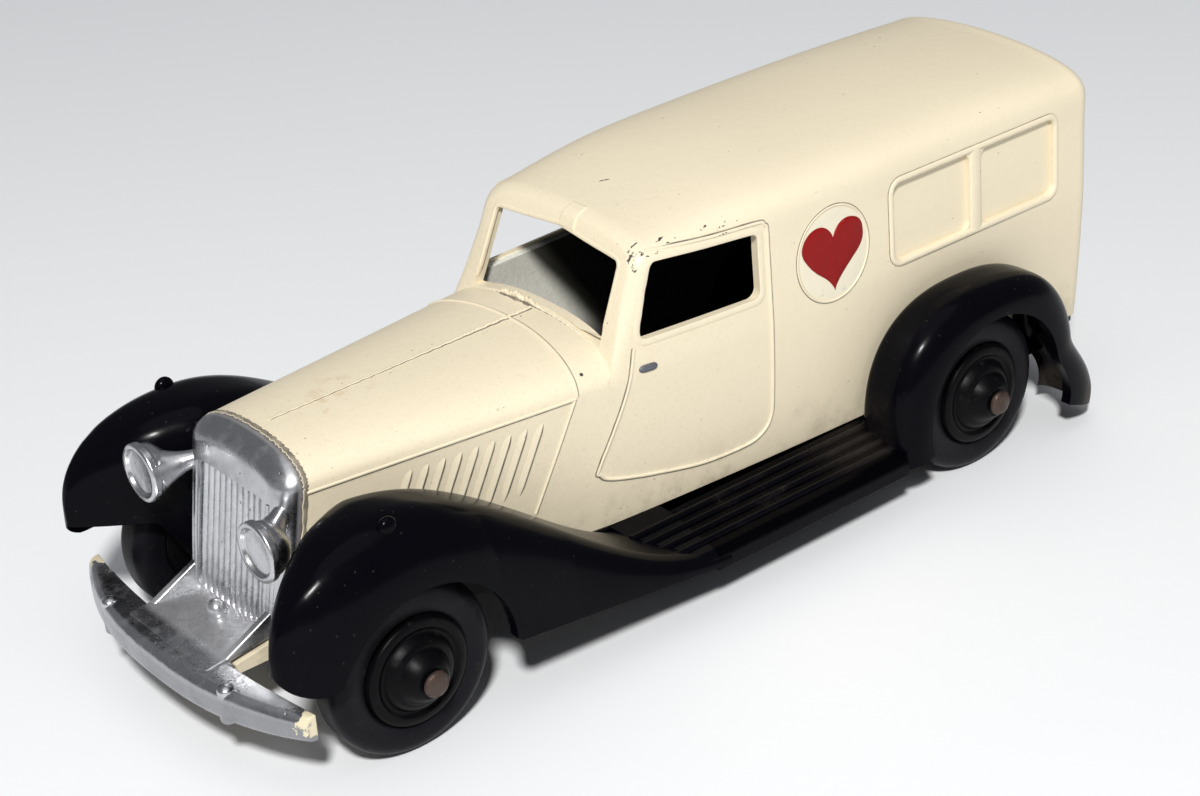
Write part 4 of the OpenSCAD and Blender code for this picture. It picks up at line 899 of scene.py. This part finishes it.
def back_lines():
    """Outlines of the two back doors, the tongue under the apron, and the spun ends of the posts."""
    half, low, high = 8.3, SILL + 2.7, WALL_TOP + 1.1
    on_back = lambda y, z: join(BACK + BACK_LEAN * (ROOF - z) / (ROOF - SILL), y, z)
    outline = dense(rounded(box(half, -half, low, high), 1.4))
    lines = [ridge(on_back(*outline.T), (-1, 0, 0), 0.3, 0.2, closed=True),
             ridge(on_back(0, np.linspace(low, high, 40)), (-1, 0, 0), 0.3, 0.2)]
    tongue = [(NOSE - 1, SILL - 0.7), (NOSE - 1, SILL + 1.1), (NOSE, SILL + 1.1),
              (NOSE + 5.4, SILL + 0.2), (NOSE + 5.4, SILL - 0.7)]
    lines.append(prism(tongue, -6.5, 6.5, along_y))
    spun = [(0, 0), (1.5, 0), (1.9, 0.6), (1.3, 0.7), (1.3, 6)]
    for x in (FRONT_AXLE - 12, BACK + WALL + 1.9):
        lines.append(lathe(spun, (x, 0, FLOOR_Z - 0.6), (0, 0, 1), 48))
    return lines


def header_tab():
    """A thin tab from the edge of the opening over the brow: a strip that thins to nothing at its edges
    and end."""
    face_z = np.linspace(LIGHT_TOP + 1.15, float(roof_height(SCREEN)), 12, endpoint=False)
    station = SCREEN - np.linspace(0.02, 1.25, 22)
    crown = roof_height(station)
    brow = join(station + station_shift(station, crown), crown)
    line = np.concatenate([on_screen(0, 0, face_z)[:, ::2], brow])
    along = unit(np.gradient(line, axis=0))
    out = join(along[:, 1], -along[:, 0])
    u = np.linspace(-1, 1, 21)[:, None]
    thick = 0.07 * np.minimum(1, 12 * np.minimum(1 - np.abs(u), np.linspace(1, 0, len(line)))) - 0.01
    top = line + thick[..., None] * out
    under = np.broadcast_to(line - 0.3 * out, top.shape)
    rim = np.concatenate([top, under[:, ::-1]], 1)
    tab = skin(join(rim[..., 0], 1.05 * u + TAB_Y, rim[..., 1]), True, "fan")
    piece("header_tab", [tab], CREAM, "car", 40)


def make_body():
    """The cream casting: the cut shell, all its raised lines and the tab."""
    cut_shell()
    lines = side_lines() + bonnet_lines() + window_lines() + back_lines()
    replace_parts(piece("body_lines", lines, CREAM, "car", 40), "body_casting")
    header_tab()


def laid(u, v, lift):
    """A polar grid laid on both body sides about the middle of the round panel, lifted off the wall."""
    spot, normal = side_points(DISC_X + u, DISC_Z + v)
    return both(skin(spot + normal * lift[..., None], True, "none"))


def make_emblem():
    """A raised heart of thick enamel on a paler disc. The heart's edge is a sine cubed across, and a sum of
    four cosines upwards."""
    a = np.linspace(0, 2 * np.pi, 160, endpoint=False)
    r = np.linspace(0, 1, 26)[:, None]
    ground = laid((DISC_L - 0.06) * r * np.cos(a), (DISC_R - 0.06) * r * np.sin(a), 0.045 * (1 - r ** 8))
    piece("disc_ground", ground, DISC, "car")
    size = HEART_R / 17 * (1 + 0.018 * wobble(a * 4, 11))
    u = r * size * 16 * np.sin(a) ** 3
    v = 0.25 + r * size * (13 * np.cos(a) - 5 * np.cos(2 * a) - 2 * np.cos(3 * a) - np.cos(4 * a))
    lift = 0.05 + 0.16 * (1 - r ** 10) + 0.02 * wobble(u * 2 + v, 12)
    piece("heart", laid(u, v, lift), RED, "car", 60)


def make_handles():
    """Door handles: short flattened bars lying on the door."""
    t = np.linspace(-1, 1, 24)
    fade = np.sqrt(np.maximum(0.02, 1 - t ** 4))
    path = join(LIGHT_FRONT - 0.75 - t, 22.6 - 0.05 * t)
    piece("door_handles", side_pair(path, 0.36 * fade, 0.26 * fade), HANDLE, "car")


# Wings, running boards and floor

WING_TIP, WING_PEAK, WING_TAIL = FRONT_AXLE + 12.9, FRONT_AXLE + 1.3, FRONT_AXLE - 33
PLAN_X, INNER_X, TIP_Y = FRONT_AXLE + 4.6, FRONT_AXLE + 1.2, WING_Y - 3.6
CREST_Z, TIP_Z, REAR_CREST_Z = 22.7, 14.2, 19.9
RIBS, RIB_PITCHES = 4, 4.5


def crest_z(x):
    """Crest of the front wing: a quarter ellipse down to the tip, a half cosine down to the tail."""
    front = mix(TIP_Z, CREST_Z, np.sqrt(np.maximum(0, 1 - ((x - WING_PEAK) / (WING_TIP - WING_PEAK)) ** 2)))
    back = mix(SILL - 1.6, CREST_Z, (1 + np.cos(np.pi * (WING_PEAK - x) / (WING_PEAK - WING_TAIL))) / 2)
    return np.where(x > WING_PEAK, front, back)


def tip_factor(x):
    """1 over the wheel, down to 0 at the tip by a quarter circle."""
    return np.sqrt(np.maximum(0, 1 - np.clip((x - PLAN_X) / (WING_TIP - PLAN_X), 0, 1) ** 2))


def wing_outer(x):
    """Outer edge of the front wing in plan."""
    return mix(TIP_Y, WING_Y, tip_factor(x))


def wing_inner(x):
    """Inner edge of the front wing in plan: along the body, then out to the tip by a power-1.15 curve."""
    s = np.clip((x - INNER_X) / (WING_TIP - INNER_X), 0, 1)
    return mix(TIP_Y, waist_half(np.minimum(x, NOSE)) + GAP, np.maximum(arch(s, 1.15), 0.12 * tip_factor(x)))


def wing_bottom(x):
    """Lower outer edge: a skirt behind the wheel, the round arch over it, a quarter ellipse up to the tip."""
    ahead = mix(10.8, 13.2, round_drop((x - FRONT_AXLE - ARCH_R) / (WING_TIP - FRONT_AXLE - ARCH_R)))
    behind = mix(5, 7.9, np.clip((x - WING_TAIL) / (FRONT_AXLE - ARCH_R - WING_TAIL), 0, 1))
    d = x - FRONT_AXLE
    wheel = np.where(np.abs(d) < ARCH_R, AXLE_Z + np.sqrt(np.maximum(0, ARCH_R ** 2 - d * d)), 0)
    return np.minimum(np.maximum(np.where(x > FRONT_AXLE, ahead, behind), wheel), crest_z(x) - 0.8)


def wing_curve(n_in, n_out, *edges):
    """Wing section: a power-4 quarter up from the inner edge, a power-2.2 quarter over to the outer face,
    then down."""
    inner, inner_z, crest_y, top, outer, bottom = np.broadcast_arrays(*edges)
    qy, qz = super_quarter(np.linspace(0, np.pi / 2, n_in, endpoint=False), 4)
    rz, ry = super_quarter(np.linspace(0, np.pi / 2, n_out + 1), 2.2)
    y = np.concatenate([mix(crest_y, inner, qy), mix(crest_y, outer, ry), outer], 1)
    z = np.concatenate([mix(inner_z, top, qz), mix(np.maximum(bottom + 0.05, top - 7.5), top, rz), bottom], 1)
    return y, z


def closed_section(outside, inside):
    """Out along one curve and back along the other."""
    return [np.concatenate([a, b[:, ::-1]], 1) for a, b in zip(outside, inside)]


def front_wing():
    """Sections along X, an outer curve and an inner one a wall inside it, solid towards the tip."""
    tip = mix(WING_PEAK, WING_TIP, np.sin(np.radians(np.linspace(87.5, 46, 34))))
    over = FRONT_AXLE + ARCH_R * np.cos(np.radians(np.arange(20, 181, 3)))
    tail = np.linspace(FRONT_AXLE - ARCH_R, WING_TAIL, 70)[1:]
    x = np.concatenate([tip, over, tail])[:, None]
    top, inner, outer = crest_z(x), wing_inner(x), wing_outer(x)
    low = np.minimum(mix(SILL - 0.6, 13.0, ease((x - NOSE + 2) / 4)), top - 0.8)
    thin = np.minimum(WING_T, 0.3 * (outer - inner))
    full = ease(2 * (x - FRONT_AXLE - ARCH_R) / (WING_TIP - FRONT_AXLE - ARCH_R))
    under = np.minimum(wing_bottom(x), top - thin - 0.3)
    roof = mix(top - thin, np.maximum(low, under) + 0.2, full)
    crest_y = mix(inner, outer, mix(0.78, 0.56, ease((x - WING_TAIL) / 24)))
    y, z = closed_section(wing_curve(16, 24, inner, low, crest_y, top, outer, wing_bottom(x)),
                          wing_curve(16, 24, inner + thin, low, crest_y, roof, outer - thin, under))
    return skin(join(x, y, z), True, "band")


def tail_flare(a):
    """0 over the wheel, rising to 1 at the foot of the wing behind it."""
    return ease((np.degrees(a) - 168) / 35)


def rear_crest(a):
    """Distance of the rear wing's crest from the axle at an angle: a power-2.4 oval, flared at the tail."""
    reach = np.where(a < np.pi / 2, 12.4, 12.6)
    power, rise = 2.4, REAR_CREST_Z - AXLE_Z
    oval = ((np.abs(np.cos(a)) / reach) ** power + (np.abs(np.sin(a)) / rise) ** power) ** (-1 / power)
    return oval + 4.4 * tail_flare(a)


def rear_wing():
    """Sections round the rear axle, an outer curve and an inner one a wall inside it."""
    a = np.radians(np.linspace(-17, 203, 120))[:, None]
    top, inner, bottom = rear_crest(a), VAN_W / 2 + GAP, ARCH_R + 2.64 * tail_flare(a)
    crest_y = mix(inner, WING_Y, 0.52)
    y, r = closed_section(*(
        wing_curve(14, 24, inner, top - 2 - wall, crest_y, top - wall, WING_Y - wall, bottom)
        for wall in (0, WING_T)))
    return skin(join(REAR_AXLE + r * np.cos(a), y, AXLE_Z + r * np.sin(a)), True, "band")


def make_boards():
    """Running boards: a sloping plate with a rolled edge, a lip under it where the wing has ended, and
    ribs on top. The small nub on each front wing goes with them."""
    nub_x = FRONT_AXLE + 1.1
    parts = both(blob((nub_x, WING_Y - 2.8, float(crest_z(nub_x)) - 0.6), (0.95, 0.65, 1.0)))
    edge_y, edge_z, flat_y, inner_y = WING_Y - 1.2, 6.8, VAN_W / 2 - 0.3, COWL_W / 2 - 1
    rear_x = REAR_AXLE + 12.4 - WING_T / 2
    k = np.linspace(0, np.pi / 2, 12)
    plate = [(flat_y, FLOOR_Z), (inner_y, FLOOR_Z), (inner_y, SILL), (flat_y, SILL)]
    rolled = join(edge_y + np.sin(k), edge_z - 1 + np.cos(k))
    lip = [(WING_Y - 0.2, 4.7), (WING_Y - 1.5, 4.7), (WING_Y - 1.5, edge_z - 1.3)]
    parts += both(prism(np.vstack([plate, rolled, lip]), rear_x, WING_TAIL + 1.5, along_x))
    parts += both(prism(np.vstack([plate, rolled, [(edge_y, edge_z - 1.3)]]), rear_x, WING_TAIL + 7, along_x))
    for i in range(RIBS):
        across = (i + 0.8) / RIB_PITCHES
        rib = join(np.linspace(rear_x, WING_TAIL + 6.8, 40),
                   mix(flat_y, edge_y, across), mix(SILL, edge_z, across))
        parts += both(ridge(rib, (0, 0.24, 0.97), 0.34, 0.30))
    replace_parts(piece("running_boards", parts, BLACK, "car", 40, 0.15), "chassis_casting")


def make_chassis():
    """The black casting: wings, running boards, floor with axle tunnels, and bosses."""
    piece("front_wings", both(front_wing()), BLACK, "car", 40, 0.22, 3)
    piece("rear_wings", both(rear_wing()), BLACK, "car", 40, 0.22, 3)
    front_y, van_y, tie_y = 9.1, 11.8, VAN_W / 2 + GAP + WING_T / 2
    tie_front, tie_back = REAR_AXLE - ARCH_R - 0.6, REAR_AXLE - 13
    half = np.array([(NOSE - 1.25, front_y), (FRONT_AXLE - ARCH_R, front_y), (COWL, COWL_W / 2),
                     (COWL - 12, van_y), (tie_front, van_y), (tie_front, tie_y), (tie_back, tie_y),
                     (BACK + 0.9, van_y)])
    floor = [prism(np.vstack([half, half[::-1] * [1, -1]]), FLOOR_Z, SILL, along_z)]
    for x, half_y in ((FRONT_AXLE, 7.0), (REAR_AXLE, 10.0)):
        tunnel = rounded(box(x - 2.4, x + 2.4, FLOOR_Z - 0.01, 10.3), 0.5, 4)
        floor.append(prism(tunnel, -half_y, half_y, along_y))
    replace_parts(piece("floor", floor, BLACK, "car", 35, 0.15), "chassis_casting")
    make_boards()
    boss = np.array([(0.86, 8.7), (1.9, 8.7), (2.2, 9.0), (2.2, 11.9), (1.9, 12.2), (0.86, 12.2)])
    for end, x in AXLES:
        pair = both(lathe_ring(boss, (x, 0, AXLE_Z), (0, 1, 0), 64))
        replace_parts(piece("axle_bosses_" + end, pair, BLACK, "car", 35), "chassis_casting")


# Radiator casting

GRILLE_W, GRILLE_LOW, GRILLE_TOP, SLATS = NOSE_W - 5.8, 9.7, NOSE_EDGE - 1.1, 11
LAMP_R, LAMP_L, LAMP_X, LAMP_Y, LAMP_Z = 2.7, 3.3, FRONT_AXLE + 8.9, 9.1, 19.6
BUMPER_X, BUMPER_END_X, BUMPER_HALF = FRONT_AXLE + 15, FRONT_AXLE + 11, 17.3
BUMPER_H, BUMPER_Z, BUMPER_POWER = 3.1, 5.7, 2.5
RIDER_Y, RIDER_R, SHELL_FOOT = 9.3, 0.75, 9.3


def nose_x(out, z):
    """How far forward a point lies that stands so far out from the leaning nose."""
    return NOSE + 0.05 + out - RAKE * (z - SILL)


def on_nose(out, y, z):
    """A point so far out from the leaning nose."""
    return join(nose_x(out, z), y, z)


def shell_outline(in_y, in_z):
    """Front outline of the shell: flanks drawn in to the foot by a power-1.75 curve, the top arched as
    the bonnet."""
    half = NOSE_W / 2 - in_y
    qy, qz = super_quarter(np.linspace(0, np.pi / 2, 26), CROWN_POWER)
    t = np.linspace(0, 1, 14, endpoint=False)
    y = np.concatenate([half - 0.5 * (1 - t) ** 1.75, half * qy])
    z = np.concatenate([mix(SHELL_FOOT, NOSE_EDGE, t), mix(NOSE_EDGE, NOSE_TOP - in_z, qz)])
    return np.concatenate([y, -y[-2::-1]]), np.concatenate([z, z[-2::-1]])


def make_grille():
    """The shell, domed by a quarter circle, with a pocket cut in its face; upright slats fill the pocket,
    and two low ones stand on each flank beside it."""
    rows = []
    for a in np.linspace(0, np.pi / 2, 20):
        drawn = 2.4 * (1 - math.cos(a))
        rows.append(on_nose(2 * math.sin(a), *shell_outline(drawn, 0.9 * drawn)))
    shell = piece("radiator_shell", [skin(np.array(rows), True, "fan")], METAL)
    half = GRILLE_W / 2
    corners = [(-half, GRILLE_LOW), (half, GRILLE_LOW), (half, GRILLE_TOP), (-half, GRILLE_TOP)]
    pocket = rounded(corners, 0.7, 6)
    carve(shell, [prism(pocket, 1.3, 4, lambda y, z, out: (nose_x(out, z), y, z))], METAL)
    finish_faces(shell, 38)
    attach(shell, "car")
    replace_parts(shell, "radiator_casting")

    pitch, slats = GRILLE_W / SLATS, []
    z = np.linspace(GRILLE_LOW - 0.1, GRILLE_TOP + 0.1, 40)
    for i in range(SLATS):
        y = (i + 0.5) * pitch - half + 0.02 * wobble(z, 20 + i)
        slats.append(ridge(on_nose(1.3, y, z), (0.986, 0, 0.168), pitch * 0.44, 0.58))
    z = np.linspace(GRILLE_LOW + 0.3, GRILLE_TOP - 0.2, 40)
    drawn = 0.3 * (1 - (z - GRILLE_LOW) / (GRILLE_TOP - GRILLE_LOW)) ** 2
    for y, out in ((5.5, 1.93), (6.25, 1.72)):
        lean = unit(np.array([math.sqrt(out / 2), 1.2 - out / 2, 0.15]))
        slats += both(ridge(on_nose(out, y - drawn, z), lean, 0.26, 0.16))
    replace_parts(piece("grille_slats", slats, METAL, "car", 50), "radiator_casting")


def make_lamps():
    """Bullet lamps, a sine to the power 1.6 behind a rimmed face, each on an arm that widens to the lamp."""
    r, long = LAMP_R, LAMP_L
    k = np.radians(np.linspace(0, 90, 20))
    bullet = join((r - 0.25) * np.sin(k) ** 1.6, (long - 0.9) * (1 - np.cos(k)))
    face = [(r, long - 0.75), (r, long - 0.15), (r - 0.2, long), (r - 0.5, long), (r - 0.75, long - 0.4),
            (r - 1.5, long - 0.52), (0, long - 0.6)]
    lamps = both(lathe(np.vstack([bullet, face]), (LAMP_X - long, LAMP_Y, LAMP_Z), (1, 0, 0)))
    neck = on_nose(1.0, NOSE_W / 2 - 1.44, 20.6)
    reach = np.array([LAMP_X - long * 0.55, LAMP_Y - r * 0.35, LAMP_Z + 0.2]) - neck
    t = np.linspace(0, 1, 14)
    arm = join(0.75 + 1.1 * t ** 2.2, t * np.linalg.norm(reach))
    lamps += both(lathe(np.vstack([[(0, -0.3)], arm]), neck, reach, 48))
    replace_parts(piece("headlamps", lamps, METAL, "car", 40, 0.08), "radiator_casting")


def make_bumper():
    """A blade bowed back by a power-2.5 curve, thinner and lower to its ends, its front edges rounded;
    two upright over-riders with domed ends stand in it."""
    t = np.linspace(-1, 1, 121)[:, None]
    bow = np.abs(t) ** BUMPER_POWER
    front = mix(BUMPER_X, BUMPER_END_X, bow)
    back = front - mix(3.6, 1.1, bow)
    high = BUMPER_H * (1 - 0.2 * t ** 4)
    foot = BUMPER_Z + (BUMPER_H - high) / 2
    r = np.minimum(high / 2, 0.9)
    a, b = np.radians(np.linspace(-90, 0, 9)), np.radians(np.linspace(0, 90, 9))
    x = np.concatenate([back, front - r + r * np.cos(a), front - r + r * np.cos(b), back], 1)
    z = np.concatenate([foot, foot + r + r * np.sin(a), foot + high - r + r * np.sin(b), foot + high], 1)
    blade = [skin(join(x, t * BUMPER_HALF, z), True, "fan")]
    over_x = mix(BUMPER_X, BUMPER_END_X, (RIDER_Y / BUMPER_HALF) ** BUMPER_POWER) - RIDER_R
    k = np.radians(np.linspace(0, 90, 8))
    rider = np.vstack([join(RIDER_R * np.sin(k), 0.45 * (1 - np.cos(k))),
                       join(RIDER_R * np.cos(k), 3.25 + 0.45 * np.sin(k))])
    blade += both(lathe(rider, (over_x, RIDER_Y, BUMPER_Z - 0.3), (0, 0, 1), 48))
    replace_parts(piece("bumper", blade, METAL, "car", 50, 0.12), "radiator_casting")


def make_apron():
    """The tray from the foot of the shell to the bumper, its two side walls, and a small dome on it."""
    half_w, back, front, end = GRILLE_W / 2 + 1.3, NOSE + 0.85, FRONT_AXLE + 13.4, NOSE + 5.65
    seat = [(end, 8.2), (end, 8.7)]
    tray = [(back, SHELL_FOOT), (back, 9.8), (front, 8.8), (front, 8.2)] + seat
    side = [(back, SHELL_FOOT), (back - RAKE * 3.9, 12.0), (front - 2, 9.0), (front - 2, 8.2)] + seat
    apron = [prism(tray, -half_w, half_w, along_y)] + both(prism(side, half_w - 0.8, half_w, along_y))
    apron.append(blob((NOSE + 3, 0, 9.8), (0.9, 0.95, 0.95)))
    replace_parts(piece("apron", apron, METAL, "car", 40, 0.2, 3), "radiator_casting")


def make_radiator():
    """The bright casting: domed shell with its grille, lamps, bumper and apron."""
    make_grille()
    make_lamps()
    make_bumper()
    make_apron()


# Wheels and axles

def hub_profile():
    """Stepped dome of a hub, heights outwards from its back."""
    rim, face, dome = 5.05, 5.0, 7.4
    steps = [(0, 0), (0.15, 0.35), (0.5, 0.5), (0.9, 0.5), (1.1, 0.3), (1.3, 0.2), (1.5, 0.25), (1.9, 0.9),
             (2.2, 1.08), (2.5, 1.15), (2.7, 1.5)]
    return np.array([(0.85, 0), (2.2, 0), (2.2, 1), (rim - 0.8, 1), (rim, 1.3),
                     *[(rim - inward, face + up) for inward, up in steps],
                     (1.75, dome - 0.15), (1.5, dome), (0.85, dome)])


def tyre_profile():
    """Rounded tread: quarter circles at both shoulders."""
    r, edge, seat = 8.05, 1.3, 5.07
    k = np.radians(np.linspace(0, 90, 14))
    inner = join(r - edge + edge * np.sin(k), edge - edge * np.cos(k))
    outer = join(r - edge + edge * np.cos(k), TYRE_W - edge + edge * np.sin(k))
    return np.vstack([[(seat, 0.3), (seat + 0.3, 0)], inner, outer,
                      [(seat + 0.3, TYRE_W), (seat, TYRE_W - 0.3)]])


def make_wheels():
    """Four hubs and tyres, and two headed axles."""
    head = [(0.8, 20.0), (1.2, 20.0), (1.2, 20.25), (1.05, 20.45), (0.7, 20.58), (0, 20.6)]
    wire = [(r, -h) for r, h in head[::-1]] + head
    for end, x in AXLES:
        for side, sign in (("left", 1), ("right", -1)):
            wheel = "%s_%s" % (end, side)
            hub = lathe_ring(hub_profile(), (x, sign * (TYRE_Y - TYRE_W - 1), AXLE_Z), (0, sign, 0))
            tyre = lathe_ring(tyre_profile(), (x, sign * (TYRE_Y - TYRE_W), AXLE_Z), (0, sign, 0), 128)
            dome = piece(wheel + "_dome", [hub], SATIN, wheel + "_wheel", 30, 0.08)
            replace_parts(dome, wheel + "_hub")
            tread = piece(wheel + "_tread", [tyre], RUBBER, wheel + "_wheel", 50)
            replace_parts(tread, wheel + "_tyre")
        axle = lathe(wire, (x, 0, AXLE_Z), (0, 1, 0), 48)
        headed = piece(end + "_wire", [axle], RUST, end + "_axle_body", 40, 0.06)
        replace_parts(headed, end + "_axle")


# Stage, light and camera

def make_stage():
    """A pale floor, a small hard lamp above the camera, a soft one overhead, and a pale room."""
    made, shader, place = finish("pale_floor")
    cloud = place.noise(0.01, 2, 0.5)
    feed(shader, Base_Color=cloud.tint((0.875, 0.89, 0.91), (0.90, 0.915, 0.93)), Roughness=0.55,
         Specular_IOR_Level=0.25)
    mesh = bpy.data.meshes.new("ground")
    mesh.from_pydata([(-6, -6, 0), (6, -6, 0), (6, 6, 0), (-6, 6, 0)], [], [(0, 1, 2, 3)])
    mesh.materials.append(made)
    ground = bpy.data.objects.new("ground", mesh)
    bpy.context.collection.objects.link(ground)

    world = bpy.data.worlds.new("pale_room")
    bpy.context.scene.world = world
    world.use_nodes = True
    feed(world.node_tree.nodes["Background"], Color=(0.93, 0.95, 1.0, 1.0), Strength=0.18)

    def lamp(name, power, size, at, aim, colour):
        """A round lamp at a place, turned to its aim."""
        data = bpy.data.lights.new(name, "AREA")
        data.energy, data.shape, data.size, data.color = power, "DISK", size, colour
        obj = bpy.data.objects.new(name, data)
        bpy.context.collection.objects.link(obj)
        z = unit(np.array(at) - np.array(aim))
        x = unit(np.cross([0, 0, 1.0], z))
        turn = np.eye(4)
        turn[:3, 0], turn[:3, 1], turn[:3, 2], turn[:3, 3] = x, np.cross(z, x), z, at
        obj.matrix_world = Matrix(turn.tolist())

    lamp("flash", 5.6, 0.08, (0.337, 0.39, 0.544), (0.0, 0.0, 0.015), (1.0, 0.99, 0.975))
    lamp("sky", 0.42, 0.5, (0.02, 0.05, 0.55), (0.0, 0.0, 0.0), (0.97, 0.98, 1.0))


def make_camera():
    """The camera found from the photograph: its place, its right and down directions, and a 77.1 mm lens."""
    data = bpy.data.cameras.new("camera")
    data.sensor_width, data.lens = 36.0, 77.14
    data.clip_start, data.clip_end = 0.01, 50
    camera = bpy.data.objects.new("camera", data)
    bpy.context.collection.objects.link(camera)
    right, down = np.array([-0.76679, 0.63955, -0.05485]), np.array([0.34000, 0.33219, -0.87981])
    forward = np.array([-0.54446, -0.69327, -0.47216])
    turn = np.eye(4)
    turn[:3, 0], turn[:3, 1], turn[:3, 2] = right, -down, -forward
    turn[:3, 3] = np.array([132.81, 166.43, 126.98]) * MM
    camera.matrix_world = Matrix(turn.tolist())
    bpy.context.scene.camera = camera


bpy.context.scene.view_settings.view_transform = "Standard"
make_camera()
make_stage()
make_body()
make_emblem()
make_handles()
make_chassis()
make_radiator()
make_wheels()
